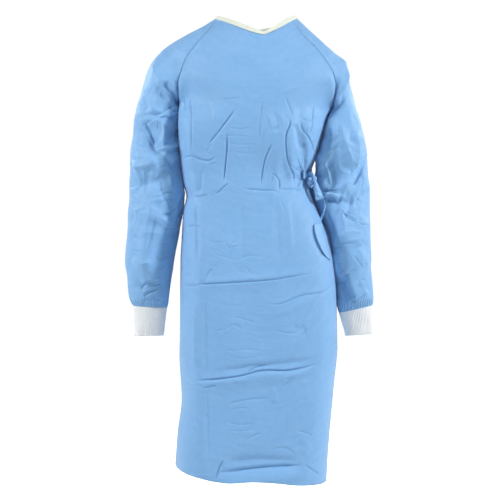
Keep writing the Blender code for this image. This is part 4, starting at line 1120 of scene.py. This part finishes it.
def makeBinding():
    places, outs = neckRuns()
    edge, low = places
    edgeOut, lowOut = outs
    up = unit(edge - low)
    near, far = gown["seamGap"], gown["seamGap"] + binding["tape"]
    inner = binding["inside"]
    lines = []
    shares = np.linspace(1, 0, binding["facePoints"])
    for share in shares:
        puff = binding["bulge"] * math.sin(math.pi * min(share * 1.1, 1)) ** 0.7
        lines.append(mix(edge, low, share) + mix(edgeOut, lowOut, share) * (far + puff))
    middle, half = (far + inner - far) / 2, (far - (inner - far)) / 2
    for turn in (0.25, 0.5, 0.75):
        angle = math.pi * turn
        outwards = edgeOut * (middle + half * math.cos(angle))
        lines.append(edge + outwards + up * far * math.sin(angle))
    for line, lift in ((shares[::-1], inner - far), (shares, inner - near), (shares[::-1], near)):
        for share in line:
            lines.append(mix(edge, low, share) + mix(edgeOut, lowOut, share) * lift)
    ring = np.array(lines)
    count, length = ring.shape[:2]
    index = np.arange(count * length).reshape(count, length)
    following = np.roll(index, -1, axis=0)
    faces = np.stack([index[:, :-1], index[:, 1:], following[:, 1:], following[:, :-1]], -1)
    faces = faces.reshape(-1, 4).tolist()
    for column in (0, length - 1):
        loop = index[:, column].tolist()
        faces.append(loop if column else loop[::-1])
    mesh = bpy.data.meshes.new("neckBinding")
    mesh.from_pydata(ring.reshape(-1, 3).tolist(), [], faces)
    along = runLengths(low[None], 1)[0]
    around = runLengths(ring[:, [binding["measuredAt"]]], 0)[:, 0]
    uvs = np.stack(np.broadcast_arrays(along[None], around[:, None]), -1).reshape(-1, 2)
    loops = np.empty(len(mesh.loops), int)
    mesh.loops.foreach_get("vertex_index", loops)
    mesh.uv_layers.new(name="cloth").data.foreach_set("uv", uvs[loops].reshape(-1))
    mesh.shade_smooth()
    obj = bpy.data.objects.new("neckBinding", mesh)
    bpy.context.scene.collection.objects.link(obj)
    editWhole(obj, lambda: bpy.ops.mesh.normals_make_consistent(inside=False))
    return obj


neckBinding = makeBinding()
print("binding made")

# Hook-and-loop tapes of the neck fastener, between the two back panels
fastener = {
    "thickness": 0.0022,
    "rows": (2, 13),
    "patchShare": (0.667, 0.916),
    "tabShare": (0.6875, 0.878),
    "tabLift": -0.0046,
}


def makeTape(name, grid, outs, shares, lift):
    columns = grid.shape[1] - 1
    first, last = (int(round(share * columns)) for share in shares)
    part = (slice(*fastener["rows"]), slice(first, last + 1))
    places, out = grid[part] + outs[part] * lift, outs[part]
    thickness = fastener["thickness"]
    return makeSheet(name, places + out * thickness, out, thickness=thickness)


neckPatch = makeTape("neckPatch", innerGrid, innerOut, fastener["patchShare"], gown["seamGap"])
neckTab = makeTape("neckTab", outerGrid, outerOut, fastener["tabShare"], fastener["tabLift"])
print("fastener made")

# Belt
belt = {"drop": 0.397, "width": 0.028, "thickness": 0.0009, "acrossPoints": 13, "steps": 150}
loopShape = {
    "along": [0.004, 0.018, 0.036, 0.05, 0.057, 0.059, 0.057, 0.05, 0.036, 0.02, 0.01],
    "out": [0.0018, 0.0034, 0.005, 0.0052, 0.003, 0, -0.003, -0.0052, -0.0048, -0.0049, -0.0049],
    "halfWidth": [
        0.0036, 0.0045, 0.0068, 0.0088, 0.0102, 0.0104, 0.0102, 0.0096, 0.008, 0.0055, 0.004,
    ],
    "top": (0.135, -0.0785, -0.405),
    "way": (0.27, 0.0, -0.963),
}
tailFlat = {
    "drop": [0.526, 0.54, 0.56, 0.58, 0.594, 0.604, 0.608],
    "leftX": [0.1325, 0.134, 0.1395, 0.148, 0.156, 0.1655, 0.171],
    "rightX": [0.1535, 0.156, 0.161, 0.1665, 0.17, 0.1725, 0.1735],
    "leftLift": [0.003, 0.0045, 0.0052, 0.005, 0.0044, 0.003, 0.002],
    "rightLift": [0.003, 0.0018, 0.0012, 0.0012, 0.0014, 0.0018, 0.002],
}
tailCord = {
    "x": [0.1347, 0.148, 0.159, 0.1625, 0.163, 0.1605, 0.157, 0.151],
    "y": [-0.0645, -0.064, -0.066, -0.0665, -0.0655, -0.063, -0.06, -0.062],
    "drop": [0.4322, 0.448, 0.459, 0.467, 0.479, 0.491, 0.502, 0.514],
    "halfWidth": [0.003, 0.0028, 0.0026, 0.0026, 0.0026, 0.0026, 0.003, 0.005],
}
knot = {
    "middle": (0.131, -0.066, -0.413),
    "size": (0.0108, 0.009, 0.0195),
    "strand": 0.0036,
    "thickness": 0.0008,
    "weld": 0.00001,
    "rings": 220,
    "sides": 20,
}


def levelAt(u, drop, facing):
    under = -bodyBase(u, 1.0, facing)[..., 2]
    bottom = -bodyBase(u, 2.0, facing)[..., 2]
    return 1 + (drop - under) / (bottom - under)


# The nearest points of a panel's grid to places seen from the front, blended
def onGrid(grid, outs, x, drop):
    flat = grid.reshape(-1, 3)
    normal = outs.reshape(-1, 3)
    x, drop = np.broadcast_arrays(x, drop)
    found, ways = [], []
    for px, pd in zip(x.reshape(-1), drop.reshape(-1)):
        away = (flat[:, 0] - px) ** 2 + (flat[:, 2] + pd) ** 2
        near = np.argpartition(away, 6)[:6]
        weight = 1 / (away[near] + 1e-7)
        weight /= weight.sum()
        found.append([px, weight @ flat[near, 1], -pd])
        ways.append(weight @ normal[near])
    return np.array(found).reshape(x.shape + (3,)), unit(np.array(ways)).reshape(x.shape + (3,))


def makeWrapBelt():
    count = belt["acrossPoints"]
    drops = belt["drop"] + np.linspace(-0.5, 0.5, count)[:, None] * belt["width"]
    columns, columnOuts = [], []
    outerU = np.linspace(0.745, 0.849, 9)
    innerU = np.linspace(0.885, 0.999, 10)
    for uValues, lifted in ((outerU, True), (innerU, False)):
        u = np.broadcast_to(uValues, (count, len(uValues)))
        v = levelAt(u, drops, 1)
        place = bodyBase(u, v, 1)
        out = formNormals(lambda p, q: bodyBase(p, q, 1), u, v)
        height = foldHeight(backPanels["folds"], place) * ease(np.minimum(u, 1 - u) / 0.10)
        height += wrapLift(u, v) if lifted else 0
        place = place + out * (height + gown["seamGap"] + belt["thickness"])[..., None]
        columns.append(place)
        columnOuts.append(out)
    ends = []
    for share, half, x, y in ((0.5, 0.012, 0.1335, -0.026), (1, 0.007, 0.1338, -0.0553)):
        drop = mix(belt["drop"], -knot["middle"][2], share)
        ends.append(points(x, y, -drop - np.linspace(-half, half, count)))
    ends = np.stack(ends, axis=1)
    endOuts = np.broadcast_to(np.array([0.97, -0.24, 0.0]), ends.shape)
    rows = np.concatenate(columns + [ends], axis=1).transpose(1, 0, 2)
    outs = np.concatenate(columnOuts + [endOuts], axis=1).transpose(1, 0, 2)
    steps = belt["steps"]
    grid = smoothRows(rows, steps)
    outs = unit(smoothRows(outs, steps))
    across = np.linspace(-1, 1, count)
    pleat = 0.0008 * np.cos(across * 7)[None] * np.linspace(0, 1, steps)[:, None] ** 2
    grid = grid + outs * pleat[..., None]
    return makeSheet("beltWrap", grid, outs, thickness=belt["thickness"])


# Sewn flat to the front, then gathered to where it leaves for the knot
def makeAnchor():
    count, steps = 25, 30
    across = np.linspace(-1, 1, count)
    halves = smoothRows([0.0150, 0.0135, 0.0115, 0.0085, 0.0065], steps)
    x = smoothRows([0.0965, 0.102, 0.108, 0.1150, 0.1226], steps)
    drop = smoothRows([0.397, 0.398, 0.400, 0.402, 0.407], steps)
    px = np.broadcast_to(x[:, None], (steps, count))
    pd = drop[:, None] + halves[:, None] * across
    surface = onGrid(frontGrid, frontOut, px, pd)[0]
    y = surface[..., 1] - 0.0012
    freeY = np.interp(x, [0.1085, 0.1150, 0.1226], [-0.078, -0.0668, -0.0662])[:, None]
    y = np.where(px > 0.110, np.minimum(y, freeY), y)
    ramp = np.linspace(0, 1, steps)[:, None]
    pleats = 0.0026 * ease(ramp * 2.5) * np.sin(across * 9 + 2.5 * ramp + 0.5)
    grid = points(px, y - np.abs(pleats), -pd)
    out = np.broadcast_to(np.array([0.2, -0.98, 0.0]), grid.shape)
    return makeSheet("beltAnchor", grid, gridNormals(grid, out), thickness=0.0007)


# The knot is one run of the belt, rolled and tied round itself
def makeKnot():
    rings, sides = knot["rings"], knot["sides"]
    middle, size = np.array(knot["middle"]), np.array(knot["size"])
    t = np.linspace(0, math.tau, rings + 1)
    ring = 2 + np.cos(3 * t)
    path = points(ring * np.cos(2 * t), np.sin(3 * t), ring * np.sin(2 * t))
    path = middle + path / np.array([3, 1, 3]) * (size - knot["strand"] * np.array([0.6, 0.9, 0.8]))
    run = unit(np.gradient(np.concatenate([path[-3:-1], path, path[1:3]]), axis=0)[2:-2])
    side = unit(np.cross(run, path - middle))
    away = np.cross(side, run)
    around = np.linspace(0, math.tau, sides + 1)
    creased = 1 + 0.16 * np.cos(3 * around[None] + 7 * np.sin(2 * t)[:, None])
    wide = knot["strand"] * creased * (1 + 0.12 * np.sin(5 * t)[:, None])
    out = side[:, None] * np.cos(around)[..., None] + away[:, None] * np.sin(around)[..., None]
    grid = path[:, None] + out * wide[..., None]
    grid[:, -1], grid[-1] = grid[:, 0], grid[0]
    piece = makeSheet("beltKnot", grid, out, closedFrom=0, thickness=knot["thickness"])
    editWhole(piece, lambda: bpy.ops.mesh.remove_doubles(threshold=knot["weld"]))
    return piece


def makeLoop():
    top, way = np.array(loopShape["top"]), unit(np.array(loopShape["way"]))
    forward = np.array([0.0, -1.0, 0.0])
    across = np.cross(way, forward)
    along, outwards, half = (
        smoothRows(loopShape[column], 90) for column in ("along", "out", "halfWidth")
    )
    at = top + way * along[:, None] + forward * outwards[:, None]
    run = unit(np.gradient(at, axis=0))
    out = unit(np.cross(across, run))
    shares = np.linspace(-1, 1, 17)
    grid = at[:, None] + across * (half[:, None] * shares)[..., None]
    deep = ease((along - 0.004) / 0.012) * ease((0.056 - along) / 0.006) * (outwards > 0)
    fold = np.where(shares < 0.1, -0.0058 * np.abs(0.1 - shares) ** 1.2, 0.0012 * (0.1 - shares))
    folds = -0.0022 * bell((shares[None] - 0.28 - 4 * along[:, None]) / 0.12)
    folds = folds + 0.0009 * np.sin(along[:, None] * 420 + shares[None] * 3) * (shares[None] < 0.3)
    crease = (fold[None] + folds) * deep[:, None]
    outs = np.broadcast_to(out[:, None], grid.shape)
    grid = grid + outs * (crease + 0.0004)[..., None]
    return makeSheet("beltLoop", grid, outs, thickness=belt["thickness"])


def makeTail():
    shares = np.linspace(-1, 1, 15)
    cordRows, flatRows = 60, 50
    cord = np.stack([tailCord["x"], tailCord["y"], -np.array(tailCord["drop"])], -1)
    cord = smoothRows(cord, cordRows)
    half = smoothRows(tailCord["halfWidth"], cordRows)[:, None]
    run = unit(np.gradient(cord, axis=0))
    across = unit(np.cross(run, np.array([0.0, -1.0, 0.0])))
    cordOut = np.cross(across, run)
    cordOut *= -np.sign(cordOut[:, 1:2])
    across *= np.sign(across[:, :1])
    rolled = 0.0018 * np.sqrt(1 - 0.9 * shares**2)
    cordPlace = cord[:, None] + across[:, None] * (half * shares)[..., None]
    cordPlace = cordPlace + cordOut[:, None] * rolled[None, :, None]
    drop, left, right, leftLift, rightLift = (
        smoothRows(column, flatRows)[:, None] for column in tailFlat.values()
    )
    lift = mix(leftLift, rightLift, ((shares + 1) / 2) ** 0.7)
    x = mix(left, right, (shares + 1) / 2)
    slant = (shares + 1) / 2 * np.linspace(-0.004, 0.002, flatRows)[:, None]
    flat, flatOut = onGrid(frontGrid, frontOut, x, drop + slant)
    wrinkle = 0.0016 * (crumple(flat, 0.022, 77) - 0.4) * ease((1 - shares) / 0.3)
    flat = flat + flatOut * (lift + wrinkle + 0.0006)[..., None]
    grid = np.concatenate([cordPlace, flat])
    outs = np.concatenate([np.broadcast_to(cordOut[:, None], cordPlace.shape), flatOut])
    return makeSheet("beltTail", grid, outs, thickness=0.0010)


beltWrap = makeWrapBelt()
beltAnchor = makeAnchor()
beltKnot = makeKnot()
beltLoop = makeLoop()
beltTail = makeTail()
print("belt made")


# Materials
def newGroup(name, inputs, outputs):
    group = bpy.data.node_groups.new(name, "ShaderNodeTree")
    for label, kind, value in inputs:
        socket = group.interface.new_socket(label, in_out="INPUT", socket_type=kind)
        if value is not None:
            socket.default_value = value
    for label, kind in outputs:
        group.interface.new_socket(label, in_out="OUTPUT", socket_type=kind)
    return group, group.nodes.new("NodeGroupInput"), group.nodes.new("NodeGroupOutput")


# Links an output to a socket, or sets the socket's own value
def feed(tree, socket, value):
    if hasattr(value, "is_output"):
        tree.links.new(value, socket)
    else:
        socket.default_value = value


# Inputs go by name, or by number as i0, i1 and so on
def addNode(tree, kind, settings=None, **inputs):
    node = tree.nodes.new(kind)
    for label, value in (settings or {}).items():
        setattr(node, label, value)
    for label, value in inputs.items():
        numbered = label[0] == "i" and label[1:].isdigit()
        feed(tree, node.inputs[int(label[1:]) if numbered else label], value)
    return node


def mathNode(tree, operation, one, two=0.0, three=0.0):
    node = addNode(tree, "ShaderNodeMath", {"operation": operation}, i0=one, i1=two, i2=three)
    return node.outputs[0]


# Bonded nonwoven cloth: cloudy fibres, and small pressed points in a diamond grid
def buildBonded():
    group, entry, leave = newGroup(
        "bondedCloth",
        [
            ("Place", "NodeSocketVector", None),
            ("Pitch", "NodeSocketFloat", 0.0022),
            ("Cloud Size", "NodeSocketFloat", 0.012),
        ],
        [
            ("Height", "NodeSocketFloat"),
            ("Cloud", "NodeSocketFloat"),
            ("Points", "NodeSocketFloat"),
            ("Streaks", "NodeSocketFloat"),
        ],
    )
    place = entry.outputs["Place"]
    perPitch = mathNode(group, "DIVIDE", 1.0, entry.outputs["Pitch"])
    perCloud = mathNode(group, "DIVIDE", 1.0, entry.outputs["Cloud Size"])
    turned = addNode(group, "ShaderNodeMapping", i0=place)
    turned.inputs["Rotation"].default_value = (0, 0, math.radians(45))
    dots = addNode(
        group, "ShaderNodeTexVoronoi", {"voronoi_dimensions": "2D"},
        Vector=turned.outputs[0], Scale=perPitch, Randomness=0.0,
    )
    pressed = addNode(group, "ShaderNodeMapRange", i0=dots.outputs["Distance"], i1=0.18, i2=0.34)
    clouds = addNode(
        group, "ShaderNodeTexNoise", {"noise_dimensions": "2D"},
        Vector=place, Scale=perCloud, Detail=4.0, Roughness=0.65,
    )
    fibres = addNode(
        group, "ShaderNodeTexNoise", {"noise_dimensions": "2D"},
        Vector=place, Scale=mathNode(group, "MULTIPLY", perPitch, 1.7), Detail=3.0, Distortion=1.2,
    )
    height = mathNode(
        group, "MULTIPLY_ADD", fibres.outputs["Fac"], 0.5,
        mathNode(group, "MULTIPLY", pressed.outputs[0], 0.6),
    )
    drawn = addNode(group, "ShaderNodeMapping", i0=place)
    drawn.inputs["Scale"].default_value = (0.16, 1, 1)
    streaks = addNode(
        group, "ShaderNodeTexNoise", {"noise_dimensions": "2D"},
        Vector=drawn.outputs[0], Scale=perCloud, Detail=5.0, Roughness=0.7, Distortion=0.4,
    )
    group.links.new(streaks.outputs["Fac"], leave.inputs["Streaks"])
    group.links.new(height, leave.inputs["Height"])
    group.links.new(clouds.outputs["Fac"], leave.inputs["Cloud"])
    group.links.new(pressed.outputs[0], leave.inputs["Points"])
    return group


# A sewn seam: a narrow groove, and small pulls across it. The groove's mask also tells the material
# where to paint shade along the seam, and it turns faint past Plain From.
def buildSeamLine():
    group, entry, leave = newGroup(
        "seamLine",
        [
            ("Place", "NodeSocketVector", None),
            ("Width", "NodeSocketFloat", 0.0011),
            ("Plain From", "NodeSocketFloat", 0.17),
        ],
        [("Groove And Shade", "NodeSocketFloat"), ("Pull", "NodeSocketFloat")],
    )
    split = addNode(group, "ShaderNodeSeparateXYZ", i0=entry.outputs["Place"])
    away = mathNode(group, "DIVIDE", split.outputs["X"], entry.outputs["Width"])
    grooveAndShade = addNode(
        group, "ShaderNodeMapRange", {"interpolation_type": "SMOOTHSTEP"}, i0=away, i1=0.4, i2=1.6
    )
    pulls = addNode(
        group, "ShaderNodeTexNoise", {"noise_dimensions": "1D"},
        W=split.outputs["Y"], Scale=260.0, Detail=2.0,
    )
    nearby = addNode(group, "ShaderNodeMapRange", i0=away, i1=1.0, i2=9.0, i3=1.0, i4=0.0)
    pull = mathNode(group, "MULTIPLY", pulls.outputs["Fac"], nearby.outputs[0])
    below = mathNode(group, "SUBTRACT", split.outputs["Y"], entry.outputs["Plain From"])
    plain = addNode(group, "ShaderNodeMapRange", i0=below, i1=0.0, i2=0.06, i4=0.8)
    shown = mathNode(group, "MAXIMUM", grooveAndShade.outputs[0], plain.outputs[0])
    group.links.new(shown, leave.inputs["Groove And Shade"])
    group.links.new(pull, leave.inputs["Pull"])
    return group


bondedCloth = buildBonded()
seamLine = buildSeamLine()


def newMaterial(name, roughness, sheen=0.0):
    material = bpy.data.materials.new(name)
    material.use_nodes = True
    shader = material.node_tree.nodes["Principled BSDF"]
    shader.inputs["Roughness"].default_value = roughness
    shader.inputs["Sheen Weight"].default_value = sheen
    shader.inputs["Sheen Roughness"].default_value = 0.5
    return material, material.node_tree, shader


def useGroup(tree, group, **values):
    node = tree.nodes.new("ShaderNodeGroup")
    node.node_tree = group
    for label, value in values.items():
        feed(tree, node.inputs[label.replace("_", " ")], value)
    return node


def uvOf(tree, name):
    return addNode(tree, "ShaderNodeUVMap", {"uv_map": name}).outputs[0]


def colourMix(tree, share, one, two):
    node = addNode(tree, "ShaderNodeMix", {"data_type": "RGBA"}, i0=share)
    for number, value in ((6, one), (7, two)):
        feed(tree, node.inputs[number], value if hasattr(value, "is_output") else (*value, 1))
    return node.outputs[2]


def finishLook(tree, shader, base, height, strength):
    tree.links.new(base, shader.inputs["Base Color"])
    bump = addNode(tree, "ShaderNodeBump", Height=height, Distance=1.0, Strength=strength)
    tree.links.new(bump.outputs[0], shader.inputs["Normal"])


nonwoven = {
    "pitch": 0.0022,
    "cloudSize": 0.014,
    "sheen": 0.3,
    "pointHeight": 0.0001,
    "streakHeight": 0.0011,
    "grooveHeight": 0.0006,
    "pullHeight": 0.0008,
    "gownCloth": {
        "light": (0.219, 0.436, 0.725),
        "dark": (0.185, 0.396, 0.68),
        # seam: painted shade, the darker colour laid into each seam's groove
        "seam": (0.12, 0.3, 0.58),
        "roughness": 0.56,
    },
    "beltCloth": {
        "light": (0.25, 0.48, 0.78),
        "dark": (0.215, 0.44, 0.74),
        # seam: painted shade, the darker colour laid into each seam's groove
        "seam": (0.12, 0.3, 0.6),
        "roughness": 0.52,
    },
}


def gownMaterial(name):
    look = nonwoven[name]
    roughness = look["roughness"]
    material, tree, shader = newMaterial(name, roughness, nonwoven["sheen"])
    cloth = useGroup(
        tree, bondedCloth,
        Place=uvOf(tree, "cloth"), Pitch=nonwoven["pitch"], Cloud_Size=nonwoven["cloudSize"],
    )
    streaks = cloth.outputs["Streaks"]
    cloudy = mathNode(tree, "MULTIPLY", cloth.outputs["Cloud"], 0.45)
    cloudy = mathNode(tree, "MULTIPLY_ADD", streaks, 0.55, cloudy)
    share = addNode(tree, "ShaderNodeMapRange", i0=cloudy, i1=0.34, i2=0.66)
    base = colourMix(tree, share.outputs[0], look["dark"], look["light"])
    height = mathNode(tree, "MULTIPLY", cloth.outputs["Height"], nonwoven["pointHeight"])
    height = mathNode(tree, "MULTIPLY_ADD", streaks, nonwoven["streakHeight"], height)
    seam = useGroup(tree, seamLine, Place=uvOf(tree, "seam"))
    grooveAndShade, pull = seam.outputs["Groove And Shade"], seam.outputs["Pull"]
    # Painted shade: the seam colour darkens the cloth along the seam's groove
    base = colourMix(tree, grooveAndShade, look["seam"], base)
    height = mathNode(tree, "MULTIPLY_ADD", grooveAndShade, nonwoven["grooveHeight"], height)
    height = mathNode(tree, "MULTIPLY_ADD", pull, nonwoven["pullHeight"], height)
    spread = addNode(
        tree, "ShaderNodeMapRange",
        i0=cloth.outputs["Points"], i3=roughness - 0.12, i4=roughness + 0.05,
    )
    tree.links.new(spread.outputs[0], shader.inputs["Roughness"])
    finishLook(tree, shader, base, height, 1.0)
    return material


# Cloths with ribs across the given axis: the cuffs' knit and the neck's tape
ribbed = {
    "ribKnit": {
        "roughness": 0.9,
        "sheen": 0.25,
        "axis": "Y",
        "pitch": 0.0013,
        "ribHeight": 0.00012,
        "fluffScale": 900.0,
        "fluffHeight": 0.0002,
        "colours": ((0.90, 0.88, 0.87), (0.97, 0.955, 0.94)),
    },
    "neckTape": {
        "roughness": 0.8,
        "sheen": 0.1,
        "axis": "X",
        "pitch": 0.0016,
        "ribHeight": 0.0001,
        "fluffScale": 600.0,
        "fluffHeight": 0.00015,
        "colours": ((0.70, 0.71, 0.58), (0.84, 0.84, 0.72)),
    },
}


def ribbedMaterial(name):
    look = ribbed[name]
    material, tree, shader = newMaterial(name, look["roughness"], look["sheen"])
    place = uvOf(tree, "cloth")
    axis = addNode(tree, "ShaderNodeSeparateXYZ", i0=place).outputs[look["axis"]]
    ribs = mathNode(tree, "SINE", mathNode(tree, "MULTIPLY", axis, math.tau / look["pitch"]))
    fluff = addNode(
        tree, "ShaderNodeTexNoise", {"noise_dimensions": "2D"},
        Vector=place, Scale=look["fluffScale"], Detail=3.0,
    ).outputs["Fac"]
    share = addNode(tree, "ShaderNodeMapRange", i0=fluff, i1=0.3, i2=0.7)
    base = colourMix(tree, share.outputs[0], *look["colours"])
    soft = mathNode(tree, "MULTIPLY", fluff, look["fluffHeight"])
    height = mathNode(tree, "MULTIPLY_ADD", ribs, look["ribHeight"], soft)
    finishLook(tree, shader, base, height, 0.8)
    return material


def tapeMaterial():
    material, tree, shader = newMaterial("hookLoopTape", 0.9, 0.3)
    loops = addNode(
        tree, "ShaderNodeTexVoronoi", {"voronoi_dimensions": "2D"},
        Vector=uvOf(tree, "cloth"), Scale=1400.0,
    ).outputs["Distance"]
    base = colourMix(tree, loops, (0.86, 0.87, 0.88), (0.6, 0.62, 0.65))
    finishLook(tree, shader, base, mathNode(tree, "MULTIPLY", loops, 0.0004), 1.0)
    return material


gownCloth, beltCloth = gownMaterial("gownCloth"), gownMaterial("beltCloth")
knitCloth, tapeCloth = ribbedMaterial("ribKnit"), ribbedMaterial("neckTape")
hookCloth = tapeMaterial()
print("materials made")

# What each piece is made of and stands for, what it was cut to (width, length and area in
# metres), and how and where it is held
pieces = [
    (frontPiece, gownCloth, "front", "gown_cloth", (0.66, 1.12), 0.55, "hung", neckBinding),
    (outerPiece, gownCloth, "back_right", "gown_cloth", (0.52, 1.14), 0.457, "hung", neckBinding),
    (innerPiece, gownCloth, "back_left", "gown_cloth", (0.45, 1.14), 0.39, "hung", neckBinding),
    (leftSleeve, gownCloth, "sleeve_left", "gown_cloth", (0.40, 0.78), 0.22, "hung", neckBinding),
    (rightSleeve, gownCloth, "sleeve_right", "gown_cloth", (0.42, 0.80), 0.24, "hung", neckBinding),
    (leftCuff, knitCloth, "cuff_left", "knit", (0.24, 0.08), 0.019, "gathered", leftSleeve),
    (rightCuff, knitCloth, "cuff_right", "knit", (0.24, 0.08), 0.0185, "gathered", rightSleeve),
    (neckBinding, tapeCloth, "neck_binding", "binding", (0.03, 0.66), 0.0195, "folded", frontPiece),
    (
        neckPatch, hookCloth, "neck_patch", "hook_and_loop",
        (0.043, 0.03), 0.00127, "laid", innerPiece,
    ),
    (neckTab, hookCloth, "neck_tab", "hook_and_loop", (0.038, 0.03), 0.00112, "laid", outerPiece),
    (beltWrap, beltCloth, "belt_wrap", "belt_cloth", (0.03, 0.16), 0.0045, "gathered", outerPiece),
    (
        beltAnchor, gownCloth, "belt_anchor", "belt_cloth",
        (0.03, 0.045), 0.0012, "gathered", frontPiece,
    ),
    (beltKnot, beltCloth, "belt_knot", "belt_cloth", (0.03, 0.11), 0.0026, "folded", beltWrap),
    (beltLoop, beltCloth, "belt_loop", "belt_cloth", (0.03, 0.13), 0.002, "folded", beltKnot),
    (beltTail, beltCloth, "belt_tail", "belt_cloth", (0.03, 0.2), 0.0033, "hung", beltKnot),
]
for piece, cloth, node, slotName, *cut in pieces:
    piece.data.materials.append(cloth)
    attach(piece, "root")
    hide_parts(node)
print("pieces dressed")

# Floor, light and camera
studio = {
    "floorDrop": 1.45,
    "cameraPlace": (-0.02, -3.2, -0.585),
    "frameWidth": 1.25,
    "skyStrength": 0.19,
    "skyTint": (0.5, 0.78, 1.0),
    "skySeen": 1.02,
    "floorGlow": 0.97,
    "sensor": 36,
}
# Name, place, target, power and size
lights = [
    ("key", (-2.7, -1.3, 0.95), (0, 0, -0.4), 76, 0.6),
    ("side", (2.8, -1.2, 0.85), (0, 0, -0.4), 92, 0.5),
    ("top", (-0.3, -1.5, 2.2), (0, 0, -0.4), 12, 0.8),
    ("front", (0.0, -3.4, -0.3), (0, 0, -0.5), 2, 0.8),
    ("backLeft", (2.5, 2.3, 1.0), (0, 0, -0.5), 34, 1.0),
    ("backRight", (-2.5, 2.3, 1.0), (0, 0, -0.5), 34, 1.0),
]


def makeFloor():
    bpy.ops.object.select_all(action="DESELECT")
    bpy.ops.mesh.primitive_plane_add(size=60, location=(0, 0, -studio["floorDrop"]))
    floor = bpy.context.object
    floor.name = "studioFloor"
    bpy.ops.object.transform_apply(location=True, rotation=True, scale=True)
    material, tree, shader = newMaterial("paleFloor", 0.9)
    shader.inputs["Base Color"].default_value = (0.95, 0.95, 0.95, 1)
    shader.inputs["Emission Color"].default_value = (1, 1, 1, 1)
    path = tree.nodes.new("ShaderNodeLightPath")
    glow = mathNode(tree, "MULTIPLY", path.outputs["Is Camera Ray"], studio["floorGlow"])
    tree.links.new(glow, shader.inputs["Emission Strength"])
    floor.data.materials.append(material)


def addLight(name, place, target, energy, size):
    data = bpy.data.lights.new(name, "AREA")
    data.energy = energy
    data.shape = "DISK"
    data.size = size
    light = bpy.data.objects.new(name, data)
    light.location = place
    bpy.context.scene.collection.objects.link(light)
    way = np.array(target) - np.array(light.location)
    light.rotation_euler = (
        math.atan2(math.hypot(way[0], way[1]), -way[2]), 0, math.atan2(-way[0], way[1])
    )


def makeStudio():
    makeFloor()
    for light in lights:
        addLight(*light)
    world = bpy.data.worlds.new("sky")
    bpy.context.scene.world = world
    world.use_nodes = True
    tree = world.node_tree
    sky = tree.nodes["Background"]
    path = tree.nodes.new("ShaderNodeLightPath")
    tint = tree.nodes.new("ShaderNodeMix")
    tint.data_type = "RGBA"
    tint.inputs[6].default_value = (*studio["skyTint"], 1)
    tint.inputs[7].default_value = (1, 1, 1, 1)
    tree.links.new(path.outputs["Is Camera Ray"], tint.inputs[0])
    tree.links.new(tint.outputs[2], sky.inputs["Color"])
    seen = addNode(
        tree, "ShaderNodeMapRange",
        i0=path.outputs["Is Camera Ray"], i3=studio["skyStrength"], i4=studio["skySeen"],
    )
    tree.links.new(seen.outputs[0], sky.inputs["Strength"])
    camera = bpy.data.objects.new("camera", bpy.data.cameras.new("camera"))
    bpy.context.scene.collection.objects.link(camera)
    camera.location = studio["cameraPlace"]
    camera.rotation_euler = (math.radians(90), 0, 0)
    camera.data.sensor_width = studio["sensor"]
    camera.data.lens = studio["sensor"] * -studio["cameraPlace"][1] / studio["frameWidth"]
    bpy.context.scene.camera = camera
    bpy.context.scene.view_settings.view_transform = "Standard"


makeStudio()
print("studio made")
